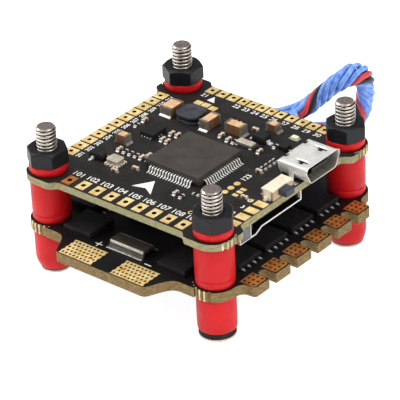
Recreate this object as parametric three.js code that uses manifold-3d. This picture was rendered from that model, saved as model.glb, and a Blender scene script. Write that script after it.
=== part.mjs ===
// Drone electronics stack: a flight controller board above a four-in-one speed controller board,
// both held on silicone dampers by four M3 screws, with the wire harness that joins them.
//
// Millimetres. +Y is the nose of the aircraft, +X its right-hand side, +Z up.
// The screw pattern is centred on x = y = 0, and the screw heads stand on z = 0.

import * as THREE from 'three';
import { mergeVertices } from 'three/addons/utils/BufferGeometryUtils.js';
import Module from 'manifold-3d';

const wasm = await Module();
wasm.setup();

// ---------------------------------------------------------------- driving dimensions

const HOLE_PITCH = 30.5; // mounting hole spacing both ways, the usual size for this stack
const BOARD_HOLE_R = 2.05; // mounting hole, which the damper's neck fills
const ROUND_SIDES = 16; // sides of a turned piece

const FC_HALF_X = 17.0; // flight controller board
const FC_HALF_Y = 17.5;
const FC_THICKNESS = 1.1;
const FC_LOBE_R = 3.25; // rounded ear round each mounting hole

const ESC_HALF_X = 20.95; // speed controller board, over its motor tabs
const ESC_HALF_Y = 22.5; // and over its battery and connector tabs
const ESC_THICKNESS = 1.6;
const ESC_LOBE_R = 3.2;
const ESC_TAB_HALF = 8.2; // half width of a battery or connector tab
const MOTOR_TAB_PITCH = 4.8;
const MOTOR_TAB_GAP = 1.6; // notch between two motor tabs
const MOTOR_TAB_DEPTH = 2.3;
const BITE_R = 0.27; // break-off perforation left on the edge of an ear
const BITE_PITCH = 0.8;

const THREAD_R = 1.5; // M3 button head screw
const SCREW_LENGTH = 21.8; // under the head
const HEAD_R = 2.85;
const HEAD_HEIGHT = 1.65;
const HEX_KEY = 2.0; // across flats
const HEX_KEY_DEPTH = 1.0;

const NUT_FLATS = 5.5; // M3 nylon nut
const NUT_HEIGHT = 2.4;
const NUT_CHAMFER = 0.3;
const NUT_BORE_GAP = 0.05; // stands for the thread play

const DAMPER_R = 2.88; // silicone damper
const DAMPER_BORE_GAP = 0.13; // over the screw
const DAMPER_NECK_GAP = 0.1; // inside the board's hole
const DAMPER_FLANGE = 1.3;
const LOWER_DAMPER_BODY = 5.3;
const UPPER_DAMPER_BODY = 5.45;

const PAD_HOLE_R = 0.42; // plated hole in a solder pad
const SMALL_PAD_HOLE_R = 0.36;

const SHEET = 0.2; // sheet metal of the sockets
const PLUNGER_TRAVEL = 0.25; // boot button
const SLIDER_TRAVEL = 2.5; // push-push card ejector

// ---------------------------------------------------------------- derived levels

const hole = HOLE_PITCH / 2;
const headTop = HEAD_HEIGHT;
const escBottom = headTop + LOWER_DAMPER_BODY;
const escTop = escBottom + ESC_THICKNESS;
const damperSeam = escTop + DAMPER_FLANGE;
const fcBottom = damperSeam + UPPER_DAMPER_BODY;
const fcTop = fcBottom + FC_THICKNESS;
const nutBottom = fcTop + DAMPER_FLANGE;
const screwTip = headTop + SCREW_LENGTH;

const CORNERS = {
  rear_left: { at: [-hole, -hole], nutTurn: -36.5 },
  rear_right: { at: [hole, -hole], nutTurn: -54 },
  front_right: { at: [hole, hole], nutTurn: -49.5 },
  front_left: { at: [-hole, hole], nutTurn: -29 },
};

// ---------------------------------------------------------------- finishes

const FINISH = {
  solderMask: { color: 0x1c1c1e, roughness: 0.55, metalness: 0 },
  blackEpoxy: { color: 0x232325, roughness: 0.6, metalness: 0 },
  steel: { color: 0xb9b6af, roughness: 0.3, metalness: 1 },
  tin: { color: 0xdcdad4, roughness: 0.35, metalness: 1 },
  blackNylon: { color: 0x202022, roughness: 0.45, metalness: 0 },
  redSilicone: { color: 0xd2141b, roughness: 0.5, metalness: 0 },
  ceramic: { color: 0x9a6a44, roughness: 0.5, metalness: 0 },
  ferrite: { color: 0x3a3a3e, roughness: 0.7, metalness: 0 },
  creamPlastic: { color: 0xe9dcc0, roughness: 0.5, metalness: 0 },
  slatePlastic: { color: 0x3d4048, roughness: 0.5, metalness: 0 },
  whitePlastic: { color: 0xe8e6de, roughness: 0.5, metalness: 0 },
  blueSilicone: { color: 0x2b4fd0, roughness: 0.5, metalness: 0 },
  shuntAlloy: { color: 0x6d5a4a, roughness: 0.4, metalness: 1 },
  springSteel: { color: 0xc4c0b8, roughness: 0.3, metalness: 1 },
};

const group = new THREE.Group();

function add(name, piece, finish) {
  const geometry = piece.isBufferGeometry ? piece : geometryOf(piece);
  const mesh = new THREE.Mesh(geometry, new THREE.MeshStandardMaterial(FINISH[finish]));
  mesh.name = name;
  group.add(mesh);
  return mesh;
}

// ---------------------------------------------------------------- solids

const GRID = 1e-4; // coordinates are rounded to this, so that faces meant to meet do meet

function solidOf(geometry) {
  geometry.deleteAttribute('normal');
  geometry.deleteAttribute('uv');
  const coordinates = geometry.attributes.position.array;
  coordinates.forEach((value, i) => {
    coordinates[i] = Math.round(value / GRID) * GRID;
  });
  const merged = mergeVertices(geometry, GRID);
  return new wasm.Manifold(new wasm.Mesh({
    numProp: 3,
    vertProperties: new Float32Array(merged.attributes.position.array),
    triVerts: new Uint32Array(merged.index.array),
  }));
}

function geometryOf(manifold) {
  const mesh = manifold.getMesh();
  const geometry = new THREE.BufferGeometry();
  geometry.setAttribute('position', new THREE.BufferAttribute(mesh.vertProperties, 3));
  geometry.setIndex(new THREE.BufferAttribute(mesh.triVerts, 1));
  geometry.computeVertexNormals();
  return geometry;
}

// Box between two corners.
function block([x0, y0, z0], [x1, y1, z1]) {
  const box = new THREE.BoxGeometry(x1 - x0, y1 - y0, z1 - z0);
  box.translate((x0 + x1) / 2, (y0 + y1) / 2, (z0 + z1) / 2);
  return solidOf(box);
}

// Box standing on z, centred on (x, y).
function chip([x, y], z, [sizeX, sizeY, height]) {
  return block([x - sizeX / 2, y - sizeY / 2, z], [x + sizeX / 2, y + sizeY / 2, z + height]);
}

// Moulded body whose sides lean in above and below its parting line.
function mouldedChip([x, y], z, [sizeX, sizeY, height], draft) {
  const half = height / 2;
  const frustum = new THREE.CylinderGeometry(Math.SQRT1_2, Math.SQRT1_2, height, 4, 2);
  frustum.rotateX(Math.PI / 2);
  frustum.rotateZ(Math.PI / 4);
  const points = frustum.attributes.position;
  for (let i = 0; i < points.count; i += 1) {
    const inset = Math.abs(points.getZ(i)) > half / 2 ? draft : 0;
    points.setX(i, points.getX(i) * (sizeX - 2 * inset));
    points.setY(i, points.getY(i) * (sizeY - 2 * inset));
  }
  frustum.translate(x, y, z + half);
  return solidOf(frustum);
}

// Round piece turned about a vertical axis, from [radius, height] pairs going up its outside.
function turned(profile, [x, y], sides = ROUND_SIDES) {
  const lathe = new THREE.LatheGeometry(profile.map(([r, z]) => new THREE.Vector2(r, z)), sides);
  lathe.rotateX(Math.PI / 2);
  lathe.translate(x, y, 0);
  return solidOf(lathe);
}

function rod([x, y], radius, z0, z1, sides = ROUND_SIDES) {
  return turned([[0, z0], [radius, z0], [radius, z1], [0, z1]], [x, y], sides);
}

function hexRod([x, y], flats, z0, z1, turn) {
  const prism = new THREE.CylinderGeometry(flats / Math.sqrt(3), flats / Math.sqrt(3), z1 - z0, 6);
  prism.rotateX(Math.PI / 2);
  prism.rotateZ(THREE.MathUtils.degToRad(turn + 90));
  prism.translate(x, y, (z0 + z1) / 2);
  return solidOf(prism);
}

function plate(outline, z0, z1) {
  const slab = new THREE.ExtrudeGeometry(new THREE.Shape(outline), { depth: z1 - z0, bevelEnabled: false });
  slab.translate(0, 0, z0);
  return solidOf(slab);
}

// Bar whose section, as [y, z] points, runs along X.
function drawnAlongX(section, x0, x1) {
  const shape = new THREE.Shape(section.map(([y, z]) => new THREE.Vector2(y, z)));
  const bar = new THREE.ExtrudeGeometry(shape, { depth: x1 - x0, bevelEnabled: false });
  bar.applyMatrix4(new THREE.Matrix4().set(0, 0, 1, x0, 1, 0, 0, 0, 0, 1, 0, 0, 0, 0, 0, 1));
  return solidOf(bar);
}

function cutAll(body, cutters) {
  return cutters.reduce((left, cutter) => left.subtract(cutter), body);
}

function joinAll(pieces) {
  return pieces.reduce((all, piece) => all.add(piece));
}

// ---------------------------------------------------------------- boards

// A whole outline from its (+X, +Y) quarter, whose points run clockwise from the front edge to the right edge.
function mirroredOutline(quarter) {
  const back = [...quarter].reverse();
  return [
    ...quarter,
    ...back.map((p) => new THREE.Vector2(p.x, -p.y)),
    ...quarter.map((p) => new THREE.Vector2(-p.x, -p.y)),
    ...back.map((p) => new THREE.Vector2(-p.x, p.y)),
  ];
}

// The ear round a mounting hole, which swells out of the straight edges at halfX and halfY.
function earQuarter(halfX, halfY, lobeR) {
  const run = 4.1; // from the hole's centre back to where the straight edge ends
  const swell = 1.8; // length of the S-shaped step
  const out = hole + lobeR;
  const path = new THREE.Path();
  path.moveTo(hole - run, halfY);
  path.bezierCurveTo(hole - run + swell / 2, halfY, hole - run + swell / 2, out, hole - run + swell, out);
  path.lineTo(hole, out);
  path.absarc(hole, hole, lobeR, Math.PI / 2, 0, true);
  path.lineTo(out, hole - run + swell);
  path.bezierCurveTo(out, hole - run + swell / 2, halfX, hole - run + swell / 2, halfX, hole - run);
  return path.getPoints(6);
}

function escQuarter() {
  const out = hole + ESC_LOBE_R;
  const corner = 0.6;
  const rootX = ESC_TAB_HALF + 3.2; // where the tab's flank has run back to the edge of the ear
  const tabSide = MOTOR_TAB_PITCH * 2.5 + (MOTOR_TAB_PITCH - MOTOR_TAB_GAP) / 2;
  const gapR = MOTOR_TAB_GAP / 2;
  const path = new THREE.Path();
  path.moveTo(ESC_TAB_HALF - corner, ESC_HALF_Y);
  path.quadraticCurveTo(ESC_TAB_HALF, ESC_HALF_Y, ESC_TAB_HALF + corner / 2, ESC_HALF_Y - corner);
  path.bezierCurveTo(ESC_TAB_HALF + 1.3, ESC_HALF_Y - 2.6, ESC_TAB_HALF + 1.7, out, rootX, out);
  path.lineTo(hole, out);
  path.absarc(hole, hole, ESC_LOBE_R, Math.PI / 2, 0, true);
  path.quadraticCurveTo(out + 0.1, tabSide + 0.1, out + 1.2, tabSide);
  path.quadraticCurveTo(ESC_HALF_X, tabSide, ESC_HALF_X, tabSide - corner);
  for (const step of [2, 1]) {
    const middle = MOTOR_TAB_PITCH * step;
    path.lineTo(ESC_HALF_X, middle + gapR);
    path.absarc(ESC_HALF_X - MOTOR_TAB_DEPTH + gapR, middle, gapR, Math.PI / 2, Math.PI * 1.5, false);
    path.lineTo(ESC_HALF_X, middle - gapR);
  }
  path.lineTo(ESC_HALF_X, gapR);
  path.absarc(ESC_HALF_X - MOTOR_TAB_DEPTH + gapR, 0, gapR, Math.PI / 2, Math.PI, false);
  return path.getPoints(6);
}

// Break-off perforations along an ear, spread about one direction from the hole's centre.
function bites([x, y], lobeR, direction, z0, z1) {
  const step = BITE_PITCH / lobeR;
  const middle = THREE.MathUtils.degToRad(direction);
  return [-1.5, -0.5, 0.5, 1.5].map((k) => {
    const angle = middle + k * step;
    const centre = [x + lobeR * Math.cos(angle), y + lobeR * Math.sin(angle)];
    return rod(centre, BITE_R, z0 - 1, z1 + 1, 8);
  });
}

// Rows of plated pad holes on the flight controller: first centre, step and count.
const EDGE_INSET = 1.0; // pad hole centre to the straight edge
const PAD_ROWS = [
  { first: [-10.55, -FC_HALF_Y + 1.5], step: [2.63, 0], count: 9, radius: PAD_HOLE_R },
  { first: [-FC_HALF_X + EDGE_INSET, -9.56], step: [0, 2.03], count: 11, radius: SMALL_PAD_HOLE_R },
  { first: [-10.58, FC_HALF_Y - EDGE_INSET], step: [2.03, 0], count: 3, radius: SMALL_PAD_HOLE_R },
  { first: [-4.55, FC_HALF_Y - EDGE_INSET], step: [1.75, 0], count: 5, radius: SMALL_PAD_HOLE_R },
  { first: [4.48, FC_HALF_Y - EDGE_INSET], step: [2.0, 0], count: 4, radius: SMALL_PAD_HOLE_R },
];

function padHoles(z0, z1) {
  return PAD_ROWS.flatMap(({ first, step, count, radius }) => {
    const places = Array.from({ length: count }, (_, i) => [first[0] + i * step[0], first[1] + i * step[1]]);
    return places.map((place) => rod(place, radius, z0 - 1, z1 + 1, 8));
  });
}

function board(quarter, lobeR, z0, z1, biteDirection, extraHoles) {
  const corners = Object.values(CORNERS);
  const mounting = corners.map(({ at }) => rod(at, BOARD_HOLE_R, z0 - 1, z1 + 1));
  const perforations = corners.flatMap(({ at }) => bites(at, lobeR, biteDirection(at), z0, z1));
  return cutAll(plate(mirroredOutline(quarter), z0, z1), [...mounting, ...perforations, ...extraHoles]);
}

const towardsSide = ([x]) => (x > 0 ? 0 : 180);
const towardsEnd = ([, y]) => (y > 0 ? 90 : -90);

const fcQuarter = earQuarter(FC_HALF_X, FC_HALF_Y, FC_LOBE_R);
const fcHoles = padHoles(fcBottom, fcTop);
add('fc_board', board(fcQuarter, FC_LOBE_R, fcBottom, fcTop, towardsSide, fcHoles), 'solderMask');
add('esc_board', board(escQuarter(), ESC_LOBE_R, escBottom, escTop, towardsEnd, []), 'solderMask');

// ---------------------------------------------------------------- screws, nuts and dampers

function screw(at) {
  const tipChamfer = 0.4;
  const body = turned([
    [0, 0], [1.9, 0], [2.5, 0.35], [HEAD_R, 1.0], [HEAD_R, headTop], [THREAD_R, headTop],
    [THREAD_R, screwTip - tipChamfer], [THREAD_R - tipChamfer, screwTip], [0, screwTip],
  ], at);
  return body.subtract(hexRod(at, HEX_KEY, -1, HEX_KEY_DEPTH, 0));
}

function nut(at, turn) {
  const top = nutBottom + NUT_HEIGHT;
  const cornerR = NUT_FLATS / Math.sqrt(3);
  const flank = NUT_FLATS / 2;
  const envelope = turned([
    [0, nutBottom], [cornerR + 0.1, nutBottom], [cornerR + 0.1, top - NUT_CHAMFER], [flank, top], [0, top],
  ], at);
  const bore = rod(at, THREAD_R + NUT_BORE_GAP, nutBottom - 1, top + 1);
  return hexRod(at, NUT_FLATS, nutBottom, top, turn).intersect(envelope).subtract(bore);
}

// A damper stands under a board: body below it, neck through its hole, flange on top.
function damper(at, foot, boardBottom, boardTop, footR) {
  const bore = THREAD_R + DAMPER_BORE_GAP;
  const neck = BOARD_HOLE_R - DAMPER_NECK_GAP;
  const top = boardTop + DAMPER_FLANGE;
  return turned([
    [bore, foot], [footR - 0.35, foot], [footR, foot + 0.55], [DAMPER_R, foot + 1.9],
    [DAMPER_R, boardBottom - 0.25], [DAMPER_R - 0.15, boardBottom], [neck, boardBottom], [neck, boardTop],
    [DAMPER_R - 0.1, boardTop], [DAMPER_R, boardTop + 0.3], [DAMPER_R, top - 0.35], [DAMPER_R - 0.3, top],
    [bore, top], [bore, foot],
  ], at);
}

for (const [corner, { at, nutTurn }] of Object.entries(CORNERS)) {
  add(`screw_${corner}`, screw(at), 'steel');
  add(`nut_${corner}`, nut(at, nutTurn), 'blackNylon');
  add(`damper_lower_${corner}`, damper(at, headTop, escBottom, escTop, DAMPER_R - 0.25), 'redSilicone');
  add(`damper_upper_${corner}`, damper(at, damperSeam, fcBottom, fcTop, DAMPER_R), 'redSilicone');
}

// ---------------------------------------------------------------- flight controller's top side

const LEAD_PITCH = 0.5; // processor leads
const LEADS_PER_SIDE = 16;
const LEAD_WIDTH = 0.22;
const LEAD_THICKNESS = 0.14;

// One gull-wing lead that leaves a package along +X at radius r, shaped in the XZ plane.
function gullLead(r, shoulderZ, reach, alongY) {
  const t = LEAD_THICKNESS;
  const shape = new THREE.Shape([
    [r, shoulderZ], [r + reach * 0.4, shoulderZ], [r + reach * 0.62, t], [r + reach, t],
    [r + reach, 0], [r + reach * 0.5, 0], [r, shoulderZ - t],
  ].map(([x, z]) => new THREE.Vector2(x, z)).reverse());
  const lead = new THREE.ExtrudeGeometry(shape, { depth: LEAD_WIDTH, bevelEnabled: false });
  lead.rotateX(Math.PI / 2);
  lead.translate(0, alongY + LEAD_WIDTH / 2, 0);
  return lead;
}

function processor([x, y], z) {
  const size = 10.0;
  const standoff = 0.1;
  const body = mouldedChip([x, y], z + standoff, [size, size, 1.4], 0.12);
  const leads = [];
  for (let side = 0; side < 4; side += 1) {
    for (let i = 0; i < LEADS_PER_SIDE; i += 1) {
      const along = (i - (LEADS_PER_SIDE - 1) / 2) * LEAD_PITCH;
      const lead = gullLead(size / 2 - 0.2, 0.85, 1.2, along);
      lead.rotateZ((side * Math.PI) / 2);
      lead.translate(x, y, z);
      leads.push(solidOf(lead));
    }
  }
  return joinAll([body, ...leads]);
}

add('processor', processor([0.95, -2.0], fcTop), 'blackEpoxy');
add('gyro', chip([-9.4, 1.18], fcTop, [2.5, 3.0, 0.85]), 'blackEpoxy');

// Barometer: a metal can with a breather hole on a small carrier board.
const baro = { at: [-8.24, -8.62], carrier: [2.5, 2.2, 0.25], lid: [2.2, 1.9, 0.7], holeR: 0.17 };
const baroCarrier = chip(baro.at, fcTop, baro.carrier);
const baroLid = chip(baro.at, fcTop + baro.carrier[2], baro.lid);
const baroTop = fcTop + baro.carrier[2] + baro.lid[2];
const breather = rod([baro.at[0] - 0.6, baro.at[1] + 0.25], baro.holeR, baroTop - 0.3, baroTop + 1, 8);
add('barometer', joinAll([baroCarrier, baroLid]).subtract(breather), 'tin');

// Small moulded parts whose leads reach the board on either side of the body.
function leadedPart([x, y], z, body, leads) {
  const legs = leads.map(([dx, dy, sizeX, sizeY]) => chip([x + dx, y + dy], z, [sizeX, sizeY, 0.5]));
  return joinAll([mouldedChip([x, y], z + 0.05, body, 0.08), ...legs]);
}

add('rear_transistor', leadedPart([-11.32, -8.86], fcTop, [2.6, 1.35, 1.0], [
  [-0.62, -0.75, 0.45, 1.0], [0.75, 0.75, 0.45, 1.0], [-0.75, 0.75, 0.45, 1.0],
]), 'blackEpoxy');
add('front_diode', leadedPart([4.95, 8.65], fcTop, [2.3, 1.8, 1.1], [
  [-1.3, 0, 1.2, 0.75], [1.3, 0, 1.2, 0.75],
]), 'blackEpoxy');

// Ceramic capacitors with end caps a little prouder than the dielectric block.
function capacitor([x, y], z, [length, width, height], alongX) {
  const cap = 0.45;
  const proud = 0.04;
  const turn = (a, b) => (alongX ? [a, b] : [b, a]);
  const shift = (length - cap) / 2;
  const core = chip([x, y], z + proud, [...turn(length - 0.2, width - 2 * proud), height - 2 * proud]);
  const ends = [-shift, shift].map((s) => {
    const [dx, dy] = turn(s, 0);
    return chip([x + dx, y + dy], z, [...turn(cap, width), height]);
  });
  return joinAll([core, ...ends]);
}

const CAPACITORS = {
  capacitor_inlet: { at: [-11.3, 7.8], size: [3.1, 2.1, 1.5], alongX: false },
  capacitor_regulator: { at: [-3.95, 7.7], size: [3.1, 1.6, 1.65], alongX: false },
  capacitor_output: { at: [0.4, 8.42], size: [3.1, 1.6, 1.65], alongX: true },
  capacitor_left: { at: [-11.4, -3.15], size: [2.0, 1.35, 1.45], alongX: true },
  capacitor_front: { at: [4.5, 12.15], size: [2.0, 1.3, 1.3], alongX: true },
};
for (const [name, { at, size, alongX }] of Object.entries(CAPACITORS)) {
  add(name, capacitor(at, fcTop, size, alongX), 'ceramic');
}

// Power inductor: square base, waist and an eight-sided top flange.
function inductor([x, y], z) {
  const size = 4.0;
  const cut = 0.75;
  const h = size / 2;
  const octagon = [
    [h - cut, -h], [h, -h + cut], [h, h - cut], [h - cut, h],
    [-h + cut, h], [-h, h - cut], [-h, -h + cut], [-h + cut, -h],
  ].map(([dx, dy]) => new THREE.Vector2(x + dx, y + dy));
  return joinAll([
    plate(octagon, z, z + 0.3),
    chip([x, y], z + 0.3, [size - 0.7, size - 0.7, 0.6]),
    plate(octagon, z + 0.9, z + 1.3),
  ]);
}

add('inductor', inductor([-7.75, 8.1], fcTop), 'ferrite');

const crystalBase = chip([4.0, 6.25], fcTop, [3.2, 1.5, 0.35]);
const crystalLid = chip([4.0, 6.25], fcTop + 0.35, [2.85, 1.15, 0.4]);
add('crystal', joinAll([crystalBase, crystalLid]), 'tin');
add('status_led', chip([8.65, 11.8], fcTop, [1.6, 1.35, 0.55]), 'whitePlastic');

// ---------------------------------------------------------------- USB socket

const usb = {
  y: 5.9, back: 13.0, mouth: 18.3, halfWidth: 3.75, base: fcTop + 0.05, height: 2.6,
  lipLength: 0.35, lip: 0.2, chamfer: 0.7,
  tongueHalfWidth: 1.9, tongueLow: 1.156, tongueThickness: 0.6,
};

// Section of the socket in the YZ plane: wide at the top, with its lower corners cut off.
function usbSection(inset, x0, x1) {
  const w = usb.halfWidth - inset;
  const low = usb.base + inset;
  const high = usb.base + usb.height - inset;
  const c = usb.chamfer;
  return drawnAlongX([
    [-w + c, low], [w - c, low], [w, low + c], [w, high], [-w, high], [-w, low + c],
  ].map(([y, z]) => [usb.y + y, z]), x0, x1);
}

function usbShell() {
  const top = usb.base + usb.height;
  const windows = [-2.2, 2.2].map((dy) => block(
    [15.5, usb.y + dy - 0.25, top - 2 * SHEET], [16.95, usb.y + dy + 0.25, top + 1],
  ));
  const feet = [-1, 1].map((side) => {
    const wall = usb.y + side * (usb.halfWidth - SHEET / 2);
    const toe = usb.y + side * (usb.halfWidth + 0.35);
    return joinAll([
      block([14.7, wall - SHEET / 2, fcTop], [16.3, wall + SHEET / 2, usb.base + 1.2]),
      block([14.7, Math.min(wall, toe), fcTop], [16.3, Math.max(wall, toe), fcTop + SHEET]),
    ]);
  });
  const tube = joinAll([
    usbSection(0, usb.back, usb.mouth),
    usbSection(-usb.lip, usb.mouth - usb.lipLength, usb.mouth).subtract(
      block([usb.back, -hole, fcTop - 1], [usb.mouth + 1, hole, usb.base]),
    ),
    ...feet,
  ]);
  return cutAll(tube, [usbSection(SHEET, usb.back - 1, usb.mouth + 1), ...windows]);
}

function usbTongue() {
  const rear = usbSection(SHEET, usb.back + 0.2, usb.back + 1.3);
  const tongue = block(
    [usb.back + 1.0, usb.y - usb.tongueHalfWidth, usb.base + usb.tongueLow],
    [usb.mouth - 0.6, usb.y + usb.tongueHalfWidth, usb.base + usb.tongueLow + usb.tongueThickness],
  );
  return joinAll([rear, tongue]);
}

add('usb_shell', usbShell(), 'tin');
add('usb_tongue', usbTongue(), 'blackEpoxy');

// ---------------------------------------------------------------- boot button

const button = { y: -1.75, back: 14.9, front: 16.9, width: 4.3, housing: 1.5, floor: 0.35, tip: 18.3 };
const plunger = { halfWidth: 0.92, low: 0.55, high: 1.4, flange: 0.2, gap: 0.06 };
const cavityFront = button.front - 0.5;
const cavityBack = button.back + 0.55;

function buttonHousing() {
  const half = button.width / 2;
  const top = fcTop + button.housing;
  const body = block([button.back, button.y - half, fcTop], [button.front, button.y + half, top]);
  const cavityHalf = plunger.halfWidth + plunger.flange + 2 * plunger.gap;
  const slotHalf = plunger.halfWidth + plunger.gap;
  const floor = fcTop + button.floor;
  return cutAll(body, [
    block([cavityBack, button.y - cavityHalf, floor], [cavityFront, button.y + cavityHalf, top + 1]),
    block([cavityFront - 0.1, button.y - slotHalf, fcTop + plunger.low - plunger.gap],
      [button.front + 1, button.y + slotHalf, top + 1]),
  ]);
}

function buttonCover() {
  const half = button.width / 2;
  const top = fcTop + button.housing;
  const wide = half + SHEET;
  const lid = block([button.back, button.y - wide, top], [button.front, button.y + wide, top + SHEET]);
  const ears = [-1, 1].map((side) => {
    const inner = button.y + side * half;
    const outer = inner + side * SHEET;
    return block([15.3, Math.min(inner, outer), fcTop], [16.4, Math.max(inner, outer), top + SHEET]);
  });
  return joinAll([lid, ...ears]);
}

// Straight key with a shoulder behind the housing's front wall, which keeps it in.
function buttonPlunger() {
  const shoulderFront = cavityFront - plunger.gap;
  const shoulderBack = shoulderFront - 0.25;
  const wide = plunger.halfWidth + plunger.flange;
  return joinAll([
    block([shoulderBack, button.y - plunger.halfWidth, fcTop + plunger.low],
      [button.tip, button.y + plunger.halfWidth, fcTop + plunger.high]),
    block([shoulderBack, button.y - wide, fcTop + plunger.low],
      [shoulderFront, button.y + wide, fcTop + plunger.high]),
  ]);
}

// Bowed click leaf, just clear of the plunger when that is pressed home.
function clickLeaf() {
  const pressedBack = cavityFront - plunger.gap - 0.25 - PLUNGER_TRAVEL;
  const bow = pressedBack - 0.03 - cavityBack;
  const leaf = 0.08;
  const half = plunger.halfWidth;
  const shape = new THREE.Shape([
    new THREE.Vector2(cavityBack, -half), new THREE.Vector2(cavityBack + leaf, -half),
    new THREE.Vector2(cavityBack + bow, 0), new THREE.Vector2(cavityBack + leaf, half),
    new THREE.Vector2(cavityBack, half), new THREE.Vector2(cavityBack + bow - leaf, 0),
  ]);
  const strip = new THREE.ExtrudeGeometry(shape, { depth: 0.7, bevelEnabled: false });
  strip.translate(0, button.y, fcTop + plunger.low);
  return solidOf(strip);
}

add('button_housing', buttonHousing(), 'creamPlastic');
add('button_cover', buttonCover(), 'tin');
add('button_plunger', buttonPlunger(), 'slatePlastic');
add('button_click_leaf', clickLeaf(), 'springSteel');

// ---------------------------------------------------------------- memory card socket, under the board

const card = {
  left: -11.6, divider: -8.2, right: 2.4, // along Y
  back: 2.3, front: 16.95, // along X
  roof: 0.35, wall: 0.35, rearRail: 1.0, // insulator
  shallow: 1.55, deep: 2.2, // how far the shell hangs below the board
  slope: 1.3, // width of the slanting step from deep to shallow
  frontPlate: 2.5, // the bent-up plate that closes the deep part's front
};

function cardHousing() {
  const left = card.left + SHEET;
  const right = card.right - SHEET;
  const back = card.back + SHEET;
  const front = card.front - SHEET - 0.25;
  const roof = fcBottom - card.roof;
  const rail = fcBottom - card.shallow + SHEET;
  const dividerBack = back + card.rearRail + SLIDER_TRAVEL + 2.4;
  return joinAll([
    block([back, left, roof], [front, right, fcBottom]),
    block([back, left, rail], [back + card.rearRail, right, roof]),
    block([back, left, rail], [front, left + card.wall, roof]),
    block([dividerBack, card.divider - card.wall, rail], [front, card.divider, roof]),
    block([back, right - card.wall, rail], [front, right, roof]),
  ]);
}

// Outline of the shell's section, from its upper left corner round its underside to its upper right one.
function cardSection(inset, rim) {
  const deep = fcBottom - card.deep + inset;
  const shallow = fcBottom - card.shallow + inset;
  const slopeStart = card.divider + 0.2 - inset / 3;
  return [
    [card.left + inset, rim], [card.left + inset, deep], [slopeStart, deep],
    [slopeStart + card.slope, shallow], [card.right - inset, shallow], [card.right - inset, rim],
  ];
}

function cardShell() {
  const outside = drawnAlongX(cardSection(0, fcBottom), card.back, card.front);
  const inside = drawnAlongX(cardSection(SHEET, fcBottom + 1), card.back + SHEET, card.front + 1);
  const frontPlate = block([card.front - SHEET, card.left, fcBottom - card.deep],
    [card.front, card.left + card.frontPlate, fcBottom]);
  return outside.subtract(inside).add(frontPlate);
}

// Push-push slider: its arm reaches through the divider and stops the card's leading edge.
function cardSlider() {
  const left = card.left + 0.8;
  const right = card.divider - 0.6;
  const low = fcBottom - card.deep + SHEET + 0.15;
  const roof = fcBottom - card.roof - 0.12;
  const rail = fcBottom - card.shallow + SHEET + 0.1;
  const back = card.back + SHEET + card.rearRail + SLIDER_TRAVEL + 0.4;
  return joinAll([
    block([back, left, low], [back + 6.0, right, roof]),
    block([back, right - 0.2, rail], [back + 1.2, card.divider + 2.2, roof]),
  ]);
}

add('card_housing', cardHousing(), 'blackEpoxy');
add('card_shell', cardShell(), 'tin');
add('card_slider', cardSlider(), 'whitePlastic');

// ---------------------------------------------------------------- harness and its connectors

const socket = { width: 10.0, depth: 4.25, height: 2.9, wall: 0.55, pocket: 3.1 };
const plug = { width: 8.6, height: 1.7, length: 3.95, gap: 0.1 };
const fcSocket = { x: 0.6, front: FC_HALF_Y + 0.1, low: fcBottom - socket.height };
const escSocket = { x: 3.1, front: ESC_HALF_Y - 0.3, low: escTop };

function socketBody({ x, front, low }) {
  const outerHalf = socket.width / 2;
  const innerHalf = outerHalf - socket.wall;
  const high = low + socket.height;
  const body = block([x - outerHalf, front - socket.depth, low], [x + outerHalf, front, high]);
  const pocket = block([x - innerHalf, front - socket.pocket, low + socket.wall],
    [x + innerHalf, front + 1, high - socket.wall]);
  return body.subtract(pocket);
}

function plugFace({ front }) {
  return front - socket.pocket + plug.gap + plug.length;
}

function plugBody(place) {
  const middle = place.low + socket.height / 2;
  const face = plugFace(place);
  return block([place.x - plug.width / 2, face - plug.length, middle - plug.height / 2],
    [place.x + plug.width / 2, face, middle + plug.height / 2]);
}

add('fc_socket', socketBody(fcSocket), 'whitePlastic');
add('fc_plug', plugBody(fcSocket), 'whitePlastic');
add('esc_socket', socketBody(escSocket), 'whitePlastic');
add('esc_plug', plugBody(escSocket), 'whitePlastic');

// The harness leaves the upper plug forwards, loops up and over, and comes back into the lower one.
// Along Y its route is measured from the boards' front edge; its height is a share of the rise from the
// lower plug's axis, at 0, to the upper plug's axis, at 1.
const HARNESS_R = 1.5;
const HARNESS_SIDES = 8;
const HARNESS_STEPS = 20;
const TOUCH_GAP = 0.3; // between the harness's ends and the plugs
const STRAIGHT_RUN = 1.4; // out of each plug before the first bend
const lowerAxis = escSocket.low + socket.height / 2;
const upperAxis = fcSocket.low + socket.height / 2;
const HARNESS_LOOP = [
  [1.5, 4.5, 1.094], [2.3, 5.7, 1.261], [3.3, 6.6, 1.528], [4.5, 7.2, 1.88], [5.8, 7.9, 2.234],
  [6.9, 8.9, 2.487], [7.6, 10.5, 2.537], [7.9, 12.1, 2.216], [7.5, 13.2, 1.648], [6.9, 13.8, 1.02],
  [6.4, 13.5, 0.42], [5.8, 12.3, -0.05], [5.0, 10.7, -0.28], [4.1, 9.1, -0.26], [3.4, 7.9, -0.08],
];

const heightAt = (rise) => lowerAxis + rise * (upperAxis - lowerAxis);

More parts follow.
